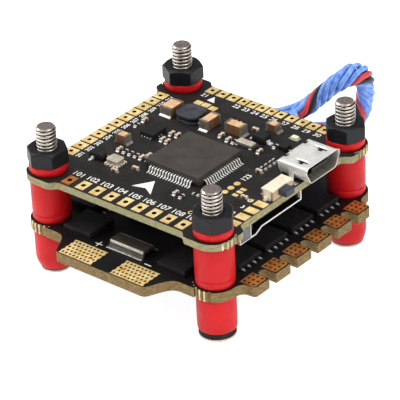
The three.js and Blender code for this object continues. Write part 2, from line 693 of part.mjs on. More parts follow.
function harness() {
  const start = plugFace(fcSocket) + TOUCH_GAP;
  const end = plugFace(escSocket) + TOUCH_GAP;
  const points = [
    [fcSocket.x, start, upperAxis],
    [fcSocket.x, start + STRAIGHT_RUN, upperAxis],
    ...HARNESS_LOOP.map(([x, ahead, rise]) => [x, FC_HALF_Y + ahead, heightAt(rise)]),
    [escSocket.x, end + STRAIGHT_RUN, lowerAxis],
    [escSocket.x, end, lowerAxis],
  ].map((p) => new THREE.Vector3(...p));
  const section = new THREE.Shape(Array.from({ length: HARNESS_SIDES }, (_, i) => {
    const angle = (2 * Math.PI * i) / HARNESS_SIDES;
    return new THREE.Vector2(HARNESS_R * Math.cos(angle), HARNESS_R * Math.sin(angle));
  }));
  const route = new THREE.CatmullRomCurve3(points, false, 'centripetal');
  return new THREE.ExtrudeGeometry(section, { steps: HARNESS_STEPS, extrudePath: route, bevelEnabled: false });
}

add('harness', solidOf(harness()), 'blueSilicone');

// ---------------------------------------------------------------- speed controller's top side

const FET = { size: [5.9, 5.1, 1.0], pitch: 6.05, x: 13.55, firstY: -8.95 };
for (const [side, sign] of [['right', 1], ['left', -1]]) {
  for (let i = 0; i < 4; i += 1) {
    const at = [sign * FET.x, FET.firstY + i * FET.pitch];
    add(`transistor_${side}_${i + 1}`, mouldedChip(at, escTop, FET.size, 0.1), 'blackEpoxy');
  }
  add(`gate_driver_${side}`, mouldedChip([sign * 8.75, -14.6], escTop, [5.1, 5.3, 0.95], 0.1), 'blackEpoxy');
}

// Current shunt: alloy bridge between two bent terminals.
function shunt([x, y], z) {
  const width = 6.3;
  const depth = 3.2;
  const rise = 1.1;
  const foot = 0.6;
  const bridge = chip([x, y], z + 0.25, [width, depth - 0.5, rise - 0.25]);
  const feet = [-1, 1].map((side) => chip([x, y + side * (depth - foot) / 2], z, [width, foot, 0.3]));
  return joinAll([bridge, ...feet]);
}

add('current_shunt', shunt([0.2, -15.5], escTop), 'shuntAlloy');

for (const [i, at] of [[-5.0, -6.2], [5.0, -6.2], [5.0, 4.6], [-5.0, 4.6]].entries()) {
  add(`esc_processor_${i + 1}`, chip(at, escTop, [4.0, 4.0, 0.85]), 'blackEpoxy');
}

export default group;
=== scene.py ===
# A flight controller board over a four-in-one motor speed controller board, on silicone dampers.
# Lengths are written in millimetres and turned to metres when a piece is finished.
import math

import bmesh
import bpy
from mathutils import Matrix, Vector


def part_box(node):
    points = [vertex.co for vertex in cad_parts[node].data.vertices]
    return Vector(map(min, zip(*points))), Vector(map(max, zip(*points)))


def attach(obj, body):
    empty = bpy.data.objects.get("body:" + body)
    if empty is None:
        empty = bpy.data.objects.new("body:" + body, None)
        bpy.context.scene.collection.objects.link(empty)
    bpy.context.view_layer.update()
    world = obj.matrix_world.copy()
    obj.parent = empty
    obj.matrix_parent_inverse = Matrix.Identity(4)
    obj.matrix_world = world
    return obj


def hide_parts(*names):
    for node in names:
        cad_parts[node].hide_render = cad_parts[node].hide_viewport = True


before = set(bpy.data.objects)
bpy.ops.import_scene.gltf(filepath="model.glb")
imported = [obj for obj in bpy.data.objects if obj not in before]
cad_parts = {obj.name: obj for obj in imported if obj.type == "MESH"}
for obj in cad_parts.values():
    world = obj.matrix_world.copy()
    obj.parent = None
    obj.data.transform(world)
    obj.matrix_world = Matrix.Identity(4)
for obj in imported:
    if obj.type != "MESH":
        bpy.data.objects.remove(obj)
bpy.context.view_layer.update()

MM = 0.001
FC_FRONT = 17.5  # the upper board's front edge
PLUG_PITCH = 1.02  # between the wires in a plug
PLUG_WAYS = [(i - 3.5) * PLUG_PITCH for i in range(8)]  # where the eight wires sit, from the plug's middle
# the four posts, and how far each one's nut is turned, in degrees
CORNERS = {"rear_left": -36.5, "rear_right": -54.0, "front_right": -49.5, "front_left": -29.0}


def box_mm(node_name):
    low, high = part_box(node_name)
    return low / MM, high / MM


def centre_mm(node_name):
    low, high = box_mm(node_name)
    return (low + high) / 2


ESC_BOTTOM, ESC_TOP = (corner.z for corner in box_mm("esc_board"))
FC_BOTTOM, FC_TOP = (corner.z for corner in box_mm("fc_board"))


# ------------------------------------------------------------------ camera

def place_camera():
    """Long lens looking down on the rear right corner."""
    azimuth, elevation, roll = (math.radians(angle) for angle in (40.626, 30.821, -2.715))
    distance = 0.4024
    aim = Vector((-0.001035, 0.001237, 0.00797))
    level = math.cos(elevation)
    back = Vector((math.sin(azimuth) * level, -math.cos(azimuth) * level, math.sin(elevation)))
    right = Vector((0, 0, 1)).cross(back).normalized()
    up = back.cross(right)
    rolled_right = right * math.cos(roll) + up * math.sin(roll)
    rolled_up = up * math.cos(roll) - right * math.sin(roll)
    data = bpy.data.cameras.new("bench_camera")
    data.sensor_width = 36
    data.lens = 247.2
    data.clip_start, data.clip_end = 0.01, 20
    camera = bpy.data.objects.new("bench_camera", data)
    turn = Matrix((rolled_right, rolled_up, back)).transposed().to_4x4()
    camera.matrix_world = Matrix.Translation(aim + back * distance) @ turn
    bpy.context.scene.collection.objects.link(camera)
    bpy.context.scene.camera = camera


place_camera()


# ------------------------------------------------------------------ finishes

def linear(code):
    """sRGB hex to a linear colour."""
    parts = [int(code[i:i + 2], 16) / 255 for i in (1, 3, 5)]
    return (*(c / 12.92 if c <= 0.04045 else ((c + 0.055) / 1.055) ** 2.4 for c in parts), 1.0)


def add(tree, kind, inputs=None, stops=(), **settings):
    """One shader node, its settings, its values and its incoming links."""
    made = tree.nodes.new(kind)
    for name, value in settings.items():
        setattr(made, name, value)
    for socket, value in (inputs or {}).items():
        if isinstance(value, bpy.types.NodeSocket):
            tree.links.new(value, made.inputs[socket])
        else:
            made.inputs[socket].default_value = value
    for i, (place, code) in enumerate(stops):
        stop = made.color_ramp.elements[i] if i < 2 else made.color_ramp.elements.new(place)
        stop.position = place
        stop.color = linear(code) if isinstance(code, str) else (code, code, code, 1.0)
    return made


def per(size_mm):
    """Texture scale, per metre, of a pattern whose features are size_mm across."""
    return 1 / (size_mm * MM)


def blank(name):
    """A new material, its empty node tree and the coordinates of the piece it covers."""
    material = bpy.data.materials.new(name)
    material.use_nodes = True
    tree = material.node_tree
    tree.nodes.clear()
    return material, tree, add(tree, "ShaderNodeTexCoord").outputs["Object"]


def clouded(tree, place, patch_mm, dark, light, detail=3.0, edges=(0.3, 0.7)):
    """Colour that drifts from dark to light in soft clouds patch_mm across."""
    cloud = add(tree, "ShaderNodeTexNoise", {"Vector": place, "Scale": per(patch_mm), "Detail": detail})
    tone = add(tree, "ShaderNodeValToRGB", {"Fac": cloud.outputs["Fac"]}, [(edges[0], dark), (edges[1], light)])
    return tone.outputs["Color"]


def uneven_gloss(tree, place, patch_mm, smoothest, roughest):
    """Roughness that drifts between two values over patch_mm, from handling and an uneven skin."""
    rubbed = add(tree, "ShaderNodeTexNoise", {"Vector": place, "Scale": per(patch_mm), "Detail": 3.0})
    gloss = add(tree, "ShaderNodeMapRange", {
        "Value": rubbed.outputs["Fac"], "From Min": 0.3, "From Max": 0.7,
        "To Min": smoothest, "To Max": roughest})
    return gloss.outputs["Result"]


def fine_grain(tree, place, grain_mm, depth_mm, strength, detail=3.0):
    """Relief of bumps grain_mm across, which breaks up the highlights."""
    grain = add(tree, "ShaderNodeTexNoise", {"Vector": place, "Scale": per(grain_mm), "Detail": detail})
    relief = add(tree, "ShaderNodeBump", {
        "Height": grain.outputs["Fac"], "Distance": depth_mm * MM, "Strength": strength})
    return relief.outputs["Normal"]


def moulded(name, dark, light, patch_mm, grain_mm, grain_depth_mm, rough, **constants):
    """Moulded, cast, fired or screened stuff. Its colour clouds over patch_mm, its gloss is uneven at a third
    of that, and a fine grain breaks up the highlights."""
    material, tree, place = blank(name)
    shader = add(tree, "ShaderNodeBsdfPrincipled", {
        "Base Color": clouded(tree, place, patch_mm, dark, light),
        "Roughness": uneven_gloss(tree, place, patch_mm / 3, *rough),
        "Normal": fine_grain(tree, place, grain_mm, grain_depth_mm, 0.5, 4.0), **constants})
    add(tree, "ShaderNodeOutputMaterial", {"Surface": shader.outputs["BSDF"]})
    return material


def solder_mask(name, ink, ink_light, glass_dark, glass, glass_light):
    """Screened epoxy ink over etched copper on woven glass. The flat faces are satin ink, clouded over 5 mm,
    just lifted by the yarns below; the routed edges are bare glass and resin, speckled and faintly layered."""
    material, tree, place = blank(name)
    face = clouded(tree, place, 5, ink, ink_light, edges=(0.35, 0.68))
    # cut glass yarns show as short dashes lying along the layers, so the pattern is drawn out sideways
    drawn_out = add(tree, "ShaderNodeMapping", {"Vector": place, "Scale": (1, 1, 3.2)})
    yarns = add(tree, "ShaderNodeTexNoise", {
        "Vector": drawn_out.outputs["Vector"], "Scale": per(0.7), "Detail": 6.0, "Roughness": 0.7})
    edge = add(tree, "ShaderNodeValToRGB", {"Fac": yarns.outputs["Fac"]},
               [(0.3, glass_dark), (0.72, glass_light), (0.5, glass)])
    geometry = add(tree, "ShaderNodeNewGeometry")
    facing = add(tree, "ShaderNodeSeparateXYZ", {"Vector": geometry.outputs["True Normal"]})
    upright = add(tree, "ShaderNodeMath", {0: facing.outputs["Z"]}, operation="ABSOLUTE")
    flat = add(tree, "ShaderNodeMath", {0: upright.outputs[0], 1: 0.5}, operation="GREATER_THAN")
    colour = add(tree, "ShaderNodeMix", {
        0: flat.outputs[0], 6: edge.outputs["Color"], 7: face}, data_type="RGBA")
    gloss = add(tree, "ShaderNodeMapRange", {
        "Value": flat.outputs[0], "To Min": 0.8, "To Max": uneven_gloss(tree, place, 2.5, 0.38, 0.52)})
    # a wave's bands lie 0.31 of its size apart, so 2.2 gives the 0.7 mm between glass yarns
    weave = add(tree, "ShaderNodeTexWave", {"Vector": place, "Scale": per(2.2), "Distortion": 0.6})
    lifted = add(tree, "ShaderNodeBump", {
        "Height": weave.outputs["Fac"], "Distance": 0.004 * MM, "Strength": 0.25,
        "Normal": fine_grain(tree, place, 0.12, 0.01, 0.35)})
    shader = add(tree, "ShaderNodeBsdfPrincipled", {
        "Base Color": colour.outputs[2], "Roughness": gloss.outputs["Result"],
        "Normal": lifted.outputs["Normal"], "IOR": 1.5, "Specular IOR Level": 0.22})
    add(tree, "ShaderNodeOutputMaterial", {"Surface": shader.outputs["BSDF"]})
    return material


def plated(name, dark, light, rough, patch_mm=1.2, metallic=0.9):
    """Metal plated or reflowed on copper: bright, softly mottled, with shallow dents from the foil below."""
    material, tree, place = blank(name)
    shader = add(tree, "ShaderNodeBsdfPrincipled", {
        "Base Color": clouded(tree, place, patch_mm, dark, light, 4.0, (0.32, 0.68)),
        "Roughness": uneven_gloss(tree, place, patch_mm / 2, *rough),
        "Normal": fine_grain(tree, place, 0.18, 0.01, 0.35), "Metallic": metallic})
    add(tree, "ShaderNodeOutputMaterial", {"Surface": shader.outputs["BSDF"]})
    return material


def drawn_metal(name, dark, light, rough, stretch, line_mm, metallic):
    """Metal worked in one direction, turned round an axis or drawn through a die: the tool's fine lines run
    across the stretch and catch the light as streaks, drawn coarser than real ones so that they show."""
    material, tree, place = blank(name)
    squeezed = add(tree, "ShaderNodeMapping", {"Vector": place, "Scale": stretch})
    lines = add(tree, "ShaderNodeTexNoise", {
        "Vector": squeezed.outputs["Vector"], "Scale": per(line_mm), "Detail": 3.0})
    tone = add(tree, "ShaderNodeValToRGB", {"Fac": lines.outputs["Fac"]}, [(0.3, dark), (0.7, light)])
    relief = add(tree, "ShaderNodeBump", {
        "Height": lines.outputs["Fac"], "Distance": 0.006 * MM, "Strength": 0.2})
    shader = add(tree, "ShaderNodeBsdfPrincipled", {
        "Base Color": tone.outputs["Color"], "Roughness": uneven_gloss(tree, place, line_mm * 1.4, *rough),
        "Normal": relief.outputs["Normal"], "Metallic": metallic})
    add(tree, "ShaderNodeOutputMaterial", {"Surface": shader.outputs["BSDF"]})
    return material


def cast_silicone(name, dark, light, dust_colour):
    """Cast silicone rubber: saturated and satin. Light soaks a little way in, and pale dust clings to it."""
    material, tree, place = blank(name)
    specks = add(tree, "ShaderNodeTexNoise", {"Vector": place, "Scale": per(0.28), "Detail": 2.0})
    dust = add(tree, "ShaderNodeValToRGB", {"Fac": specks.outputs["Fac"]}, [(0.68, 0.0), (0.78, 0.3)])
    colour = add(tree, "ShaderNodeMix", {
        0: dust.outputs["Color"], 6: clouded(tree, place, 4, dark, light), 7: linear(dust_colour)},
        data_type="RGBA")
    shader = add(tree, "ShaderNodeBsdfPrincipled", {
        "Base Color": colour.outputs[2], "Roughness": uneven_gloss(tree, place, 1.5, 0.4, 0.55),
        "Normal": fine_grain(tree, place, 0.35, 0.012, 0.3, 4.0),
        "IOR": 1.41, "Specular IOR Level": 0.3, "Subsurface Weight": 0.15, "Subsurface Scale": 0.6 * MM,
        "Subsurface Radius": (1.0, 0.1, 0.08)})
    add(tree, "ShaderNodeOutputMaterial", {"Surface": shader.outputs["BSDF"]})
    return material


def wire_silicone(name, dark, light):
    """Extruded silicone insulation: a soft waxy colour that varies every millimetre or so, finely grained."""
    material, tree, place = blank(name)
    shader = add(tree, "ShaderNodeBsdfPrincipled", {
        "Base Color": clouded(tree, place, 1.1, dark, light),
        "Roughness": uneven_gloss(tree, place, 0.5, 0.4, 0.55),
        "Normal": fine_grain(tree, place, 0.2, 0.01, 0.3),
        "IOR": 1.41, "Sheen Weight": 0.2, "Sheen Roughness": 0.4})
    add(tree, "ShaderNodeOutputMaterial", {"Surface": shader.outputs["BSDF"]})
    return material


DULL = {"Specular IOR Level": 0.22}  # dark plastics with a matt, slightly dusty skin reflect little

# boards: charcoal ink over olive-tan glass, and near-black ink over browner glass
MASK_FC = solder_mask("solder_mask_charcoal", "#1a1918", "#232120", "#6b664a", "#918b68", "#aca684")
MASK_ESC = solder_mask("solder_mask_black", "#0c0c0d", "#131314", "#514128", "#7c6742", "#9d8960")
# the same ink where copper lies under it: a little lighter and glossier
TRACE = moulded("solder_mask_over_copper", "#262422", "#322f2b", 3.0, 0.15, 0.01, (0.34, 0.46), IOR=1.5, **DULL)
# screened marks: chalky, slightly broken white
INK = moulded("screen_ink_white", "#dcdad4", "#f6f5f0", 0.8, 0.12, 0.01, (0.55, 0.7))
# gold over nickel: warm yellow, softly reflecting
GOLD = plated("immersion_gold", "#dcb668", "#f8e2a6", (0.32, 0.48), metallic=0.3)
# bare copper that has tarnished and been handled: orange, mottled
COPPER = plated("copper_pads_tarnished", "#a65f26", "#d48b43", (0.34, 0.5), 1.6, 0.5)
# copper left on the break-off ribs: dull cream brass
BRASS_RIB = plated("edge_ribs_brass", "#a98f58", "#e6d7a4", (0.4, 0.6), 0.8, 0.3)
# tin solder, melted and set: white and wet-looking
SOLDER = plated("reflowed_solder", "#9d9b96", "#cfcdc8", (0.18, 0.32), 0.5, 0.75)
# inside of a plated hole: deep warm brown, hardly lit
VIA = moulded("via_barrel_dark", "#1c1008", "#33200f", 0.3, 0.1, 0.01, (0.5, 0.7), **DULL)
# bright screw thread crests, and the turned end and head with their tool lines
STEEL = drawn_metal("stainless_steel_rolled", "#9d938a", "#ddd4ca", (0.28, 0.4), (1, 1, 10), 0.9, 0.9)
STEEL_TIP = drawn_metal("stainless_steel_cut_end", "#6f6460", "#938782", (0.42, 0.56), (5, 1, 1), 0.7, 0.7)
# thread roots and the head's wall: painted shade, nearly black
STEEL_PAINTED_SHADE = moulded("thread_root_painted_shade", "#15110f", "#2a2420", 0.4, 0.1, 0.01, (0.5, 0.65), **DULL)
# tin-plated stamped sheet: white metal, softly bright, with drawing lines along it
TIN = drawn_metal("tinned_sheet_stamped", "#d8d7d2", "#f3f2ee", (0.32, 0.48), (1, 7, 7), 1.8, 0.5)
# the same sheet on the shell's inner skin: greyer, painted shade
TIN_SHADED = drawn_metal("tinned_sheet_painted_shade", "#8f8b80", "#b5b1a6", (0.4, 0.55), (1, 7, 7), 1.8, 0.6)
# nickel-silver lids of sensor and crystal: warm grey, faintly lined
LID = drawn_metal("nickel_silver_lid", "#bdb19a", "#e6dcc8", (0.36, 0.5), (6, 1, 1), 1.2, 0.55)
# red silicone dampers
SILICONE = cast_silicone("red_silicone_cast", "#b50c12", "#c8141a", "#e8605c")
# injection-moulded nylon: black with a cool satin bloom
NYLON = moulded("black_nylon_moulded", "#0f1013", "#17181c", 2.0, 0.3, 0.015, (0.36, 0.5), IOR=1.53, **DULL)
# epoxy chip packages: matt black with a fine filler grain
EPOXY = moulded("epoxy_moulding_black", "#131212", "#1c1b1b", 1.8, 0.09, 0.012, (0.5, 0.66), IOR=1.55, **DULL)
# the processor's package: browner and lighter than the other mouldings, a painted sheen for the light its top
# reflects
PACKAGE = moulded("processor_moulding_painted_sheen", "#332e2a", "#423c37", 2.6, 0.09, 0.014, (0.44, 0.58), IOR=1.55,
                  **{"Specular IOR Level": 0.3})
# fired ceramic capacitors: warm brown sides, and a paler top face where the light falls: painted light
CERAMIC = moulded("fired_ceramic_brown", "#5f3b23", "#7d5030", 1.0, 0.12, 0.015, (0.4, 0.55), IOR=1.7)
CERAMIC_LIT_TOP = moulded("fired_ceramic_painted_light", "#c79a6b", "#ddb88c", 0.8, 0.12, 0.015, (0.4, 0.55), IOR=1.7)
# their dipped ends: dull grey-brown metal
CAP_END = plated("dipped_end_tarnished", "#6b5d50", "#8e8072", (0.4, 0.6), 0.6, 0.35)
# glazed resistors, and painted shade in holes and recesses that no light reaches
BLACK_GLAZE_AND_SHADE = moulded("resistor_glaze_and_painted_shade", "#0e0e0e", "#181716", 0.4, 0.1, 0.01, (0.3, 0.45), **DULL)
# pressed and sintered iron powder: blue-grey, sugary
FERRITE = moulded("ferrite_sintered", "#2c2e33", "#43454b", 0.9, 0.11, 0.02, (0.45, 0.62), **DULL)
# switch: cream cover, darker body, blue-grey key
CREAM = moulded("switch_cover_cream", "#d3c8b0", "#e6dcc6", 1.0, 0.14, 0.012, (0.45, 0.6))
TAN = moulded("switch_body_tan", "#a08663", "#b99d78", 1.0, 0.14, 0.012, (0.45, 0.6))
SLATE = moulded("plunger_nylon_slate", "#2f333c", "#414652", 0.8, 0.14, 0.012, (0.4, 0.55), **DULL)
# a smoky grey plate on the card shell's front face, darker than the tin round it
CARD_FRONT_GREY = moulded("card_front_plate_grey", "#55565b", "#6d6e73", 1.2, 0.14, 0.01, (0.3, 0.42), **DULL)
# connector nylon: off-white, slightly waxy
WHITE = moulded("connector_nylon_white", "#d6d3c8", "#ebe8de", 1.4, 0.16, 0.015, (0.42, 0.56))
# lamp resin: pale yellow
PHOSPHOR = moulded("led_resin_pale", "#d6d2a8", "#ebe7c9", 0.5, 0.1, 0.01, (0.25, 0.4))
# resistor alloy strip: grey bronze, drawn lengthwise
SHUNT = drawn_metal("shunt_alloy_bronze", "#45403a", "#665d52", (0.38, 0.52), (1, 6, 6), 1.4, 0.7)
# thin spring strip
SPRING = drawn_metal("spring_strip_steel", "#a5a19a", "#cfcbc3", (0.26, 0.4), (6, 1, 1), 0.8, 1.0)
# harness wires
BLUE = wire_silicone("wire_silicone_blue", "#4474d4", "#8fb6f2")
RED = wire_silicone("wire_silicone_red", "#bb2a34", "#dc4a50")
BLACK = wire_silicone("wire_silicone_black", "#16171c", "#2b2d33")


# ------------------------------------------------------------------ making pieces

def finished(name, form, finishes, body="stack", stands_for=(), bevel=0.0, segments=2, smooth=35):
    """Turns a bmesh in millimetres into a piece of the object."""
    bmesh.ops.remove_doubles(form, verts=form.verts, dist=1e-5)
    bmesh.ops.recalc_face_normals(form, faces=form.faces)
    bmesh.ops.scale(form, vec=(MM, MM, MM), verts=form.verts)
    mesh = bpy.data.meshes.new(name)
    form.to_mesh(mesh)
    form.free()
    mesh.shade_smooth()
    mesh.set_sharp_from_angle(angle=math.radians(smooth))
    for material in finishes:
        mesh.materials.append(material)
    piece = bpy.data.objects.new(name, mesh)
    bpy.context.scene.collection.objects.link(piece)
    if bevel:
        rounding = piece.modifiers.new("edge_rounding", "BEVEL")
        rounding.width = bevel * MM
        rounding.segments = segments
        rounding.limit_method = "ANGLE"
        rounding.angle_limit = math.radians(smooth)
        rounding.harden_normals = False
    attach(piece, body)
    if stands_for:
        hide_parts(*stands_for)
    return piece


def slab(form, low, high, finish=0):
    x0, y0, z0 = low
    x1, y1, z1 = high
    corners = [form.verts.new(p) for p in (
        (x0, y0, z0), (x1, y0, z0), (x1, y1, z0), (x0, y1, z0),
        (x0, y0, z1), (x1, y0, z1), (x1, y1, z1), (x0, y1, z1))]
    for ids in ((0, 3, 2, 1), (4, 5, 6, 7), (0, 1, 5, 4), (1, 2, 6, 5), (2, 3, 7, 6), (3, 0, 4, 7)):
        form.faces.new([corners[i] for i in ids]).material_index = finish


def chip(form, x, y, z, size_x, size_y, height, finish=0):
    slab(form, (x - size_x / 2, y - size_y / 2, z), (x + size_x / 2, y + size_y / 2, z + height), finish)


def loft(form, rings, finish=0, closed=True, cap_first=False, cap_last=False):
    """Skins rings of points one after another."""
    made = [[form.verts.new(p) for p in ring] for ring in rings]
    count = len(made[0])
    for near, far in zip(made, made[1:]):
        for i in range(count if closed else count - 1):
            j = (i + 1) % count
            form.faces.new((near[i], near[j], far[j], far[i])).material_index = finish
    if cap_first:
        form.faces.new(list(reversed(made[0]))).material_index = finish
    if cap_last:
        form.faces.new(made[-1]).material_index = finish
    return made


def circle(x, y, z, radius, steps=32, turn=0.0):
    return [(x + radius * math.cos(turn + 2 * math.pi * i / steps),
             y + radius * math.sin(turn + 2 * math.pi * i / steps), z) for i in range(steps)]


def turned(form, x, y, profile, steps=48, finish=0, cap_first=False, cap_last=False):
    """A round piece from (radius, height) pairs."""
    loft(form, [circle(x, y, z, r, steps) for r, z in profile], finish, True, cap_first, cap_last)


def prism(form, outline, z0, z1, finish=0):
    loft(form, [[(x, y, z) for x, y in outline] for z in (z0, z1)], finish, True, True, True)


def swept(form, section, place, half_width, finish=0):
    """A bent strip: a closed section of (out, up) points, spread half_width each way. place(out, across, up)
    says where each of its points goes."""
    loft(form, [[place(out, side * half_width, up) for out, up in section] for side in (-1, 1)],
         finish, True, True, True)


def frustum(form, x, y, z, size_x, size_y, height, draft, finish=0):
    """A moulded body: two halves whose sides lean in by draft from the parting line."""
    rings = []
    for inset, up in ((draft, 0), (0, height * 0.45), (0, height * 0.55), (draft, height)):
        hx, hy = size_x / 2 - inset, size_y / 2 - inset
        rings.append([(x + sx * hx, y + sy * hy, z + up) for sx, sy in ((-1, -1), (1, -1), (1, 1), (-1, 1))])
    loft(form, rings, finish, True, True, True)


# ------------------------------------------------------------------ harness

WIRE = 0.85  # outer diameter of one wire
HARNESS_LOOP = [
    (1.5, 4.5, 1.094), (2.3, 5.7, 1.261), (3.3, 6.6, 1.528), (4.5, 7.2, 1.88), (5.8, 7.9, 2.234),
    (6.9, 8.9, 2.487), (7.6, 10.5, 2.537), (7.9, 12.1, 2.216), (7.5, 13.2, 1.648), (6.9, 13.8, 1.02),
    (6.4, 13.5, 0.42), (5.8, 12.3, -0.05), (5.0, 10.7, -0.28), (4.1, 9.1, -0.26), (3.4, 7.9, -0.08),
]
STRAIGHT = 1.6  # how far the middle line runs straight out of a plug
GATHER_UPPER, GATHER_STEP, GATHER_LOWER = 4.6, 0.22, 7.2  # lengths in which the wires gather from their plugs
TWIST_PITCH = 10.5  # length of bundle in which a wire goes once round
TWIST_START = 0.68  # where the first wire lies, radians
BEND_AT = 14.8  # along the bundle, where it turns back on itself and its wires spring apart


def harness_line():
    """Points of the harness's middle line, plug to plug, evenly spaced."""
    upper, lower = centre_mm("fc_plug"), centre_mm("esc_plug")
    start = box_mm("fc_plug")[1].y - 0.1
    end = box_mm("esc_plug")[1].y - 0.1
    climb = upper.z - lower.z
    knots = [Vector((upper.x, start, upper.z)), Vector((upper.x, start + STRAIGHT, upper.z))]
    knots += [Vector((x, FC_FRONT + ahead, lower.z + rise * climb)) for x, ahead, rise in HARNESS_LOOP]
    knots += [Vector((lower.x, end + STRAIGHT, lower.z)), Vector((lower.x, end, lower.z))]
    knots = [2 * knots[0] - knots[1], *knots, 2 * knots[-1] - knots[-2]]
    dense = []
    for a, b, c, d in zip(knots, knots[1:], knots[2:], knots[3:]):
        for i in range(12):
            t = i / 12
            dense.append(0.5 * (2 * b + (c - a) * t + (2 * a - 5 * b + 4 * c - d) * t * t
                                + (3 * b - a - 3 * c + d) * t * t * t))
    dense.append(knots[-2])
    return dense


def lay_wires():
    """Eight wires, side by side in their plugs, then twisted together: one in the middle, seven round it."""
    line = harness_line()
    along = [0.0]
    for a, b in zip(line, line[1:]):
        along.append(along[-1] + (b - a).length)
    total = along[-1]
    last = len(line) - 1
    tangents = [(line[min(i + 1, last)] - line[max(i - 1, 0)]).normalized() for i in range(len(line))]
    side = Vector((1, 0, 0))
    frames = []
    for tangent in tangents:
        side = (side - tangent * side.dot(tangent)).normalized()
        frames.append((side.copy(), tangent.cross(side)))
    ring = WIRE / (2 * math.sin(math.pi / 7))
    colours = [BLUE, BLUE, RED, BLACK, BLUE, BLUE, BLUE, BLUE]
    upper, lower = line[0], line[-1]
    for k in range(8):
        points = []
        for i, spot in enumerate(line):
            s = along[i]
            angle = 2 * math.pi * (k / 7 - s / TWIST_PITCH) + TWIST_START
            around = frames[i][0] * math.cos(angle) + frames[i][1] * math.sin(angle)
            loose = 1 + 0.05 * math.sin(s * 1.1 + 2 * k) + 0.38 * math.exp(-((s - BEND_AT) / 2.4) ** 2)
            out = around * ring * loose if k < 7 else Vector((0, 0, 0))
            near_upper = 1 - min(1, max(0, (s - 0.4) / (GATHER_UPPER - GATHER_STEP * k)))
            near_lower = 1 - min(1, max(0, (total - s - 0.4) / GATHER_LOWER))
            point = spot + out
            for weight, plug, gone in ((near_upper, upper, s), (near_lower, lower, total - s)):
                weight = weight * weight * (3 - 2 * weight)
                point = point.lerp(plug + Vector((PLUG_WAYS[k], gone, 0)), weight)
            points.append(point * MM)
        data = bpy.data.curves.new(f"wire_{k + 1}", "CURVE")
        data.dimensions = "3D"
        data.bevel_depth = WIRE / 2 * MM
        data.bevel_resolution = 3
        data.use_fill_caps = True
        spline = data.splines.new("POLY")
        spline.points.add(len(points) - 1)
        for node, point in zip(spline.points, points):
            node.co = (*point, 1)
        data.materials.append(colours[k])
        wire = bpy.data.objects.new(f"wire_{k + 1}", data)
        bpy.context.scene.collection.objects.link(wire)
        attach(wire, "stack")
        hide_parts("harness")


lay_wires()


# ------------------------------------------------------------------ posts: screws, nuts and dampers

THREAD_PITCH = 0.58  # a little coarser than the real 0.5, so that the turns show
THREAD_RADIUS = 1.5
THREAD_DEPTH = 0.3


def thread_flank(z, share):
    """How far down the thread a point is, from 0 on the crest to 1 in the root. share is its part of a turn."""
    phase = (z / THREAD_PITCH - share) % 1.0
    return (2 * abs(phase - 0.5)) ** 3


# How wide a screw's head looks under its damper, and how low the silicone has crept over it.
HEADS = {
    "rear_left": (2.25, 0.62), "rear_right": (2.73, 1.35), "front_right": (2.45, 0.6), "front_left": (2.6, 0.9),
}


def screw(corner):
    """Button-head M3 screw: rolled thread over its upper part, hexagon key socket in its head."""
    name = f"screw_{corner}"
    low, high = box_mm(name)
    x, y = (low.x + high.x) / 2, (low.y + high.y) / 2
    head, wide = 1.65, HEADS[corner][0]
    flat = wide - 0.6
    form = bmesh.new()
    loft(form, [circle(x, y, z, 2.0 / math.sqrt(3), 6) for z in (1.0, 0.0)], 1, True, True)
    # the flat ring between the hexagon socket and the head's rounded side
    rim = circle(x, y, 0, flat, 48)
    inner = []
    for px, py, _ in rim:
        angle = math.atan2(py - y, px - x)
        reach = 1.0 / math.cos((angle % (math.pi / 3)) - math.pi / 6)
        inner.append((x + reach * math.cos(angle), y + reach * math.sin(angle), 0))
    loft(form, [inner, rim], 2)
    turned(form, x, y, [(flat, 0), (wide - 0.12, 0.02), (wide - 0.02, 0.07), (wide, 0.14), (wide, 0.42)])
    # the head's wall, in painted shade
    turned(form, x, y, [(wide, 0.42), (wide - 0.04, 0.46), (wide - 0.04, head - 0.06), (wide - 0.1, head),
                        (THREAD_RADIUS, head)], finish=1)
    start = FC_TOP + 0.9
    turned(form, x, y, [(THREAD_RADIUS - 0.1, head - 0.1), (THREAD_RADIUS - 0.1, start)])
    tip = high.z
    rows = int((tip - start) / THREAD_PITCH * 10)
    steps = 28
    rings = []
    for row in range(rows + 1):
        z = start + (tip - start) * row / rows
        ring = []
        for i in range(steps):
            angle = 2 * math.pi * i / steps
            radius = THREAD_RADIUS - THREAD_DEPTH * thread_flank(z, i / steps)
            radius = min(radius, 1.24 + (tip - z) * 0.8)
            ring.append((x + radius * math.cos(angle), y + radius * math.sin(angle), z))
        rings.append(ring)
    skin = loft(form, rings)
    form.faces.new(skin[-1]).material_index = 2
    rows_of = {vert: (row, i) for row, ring in enumerate(skin) for i, vert in enumerate(ring)}
    for face in form.faces:
        spots = [rows_of[vert] for vert in face.verts if vert in rows_of]
        if len(spots) == 4 and len(face.verts) == 4:
            depth = sum(thread_flank(rings[row][i][2], i / steps) for row, i in spots) / 4
            # faces deep in the thread take the painted shade, the crests the bright steel
            face.material_index = 1 if depth > 0.3 else 0
    finished(name + "_threaded", form, [STEEL, STEEL_PAINTED_SHADE, STEEL_TIP],
             stands_for=[name], smooth=50)


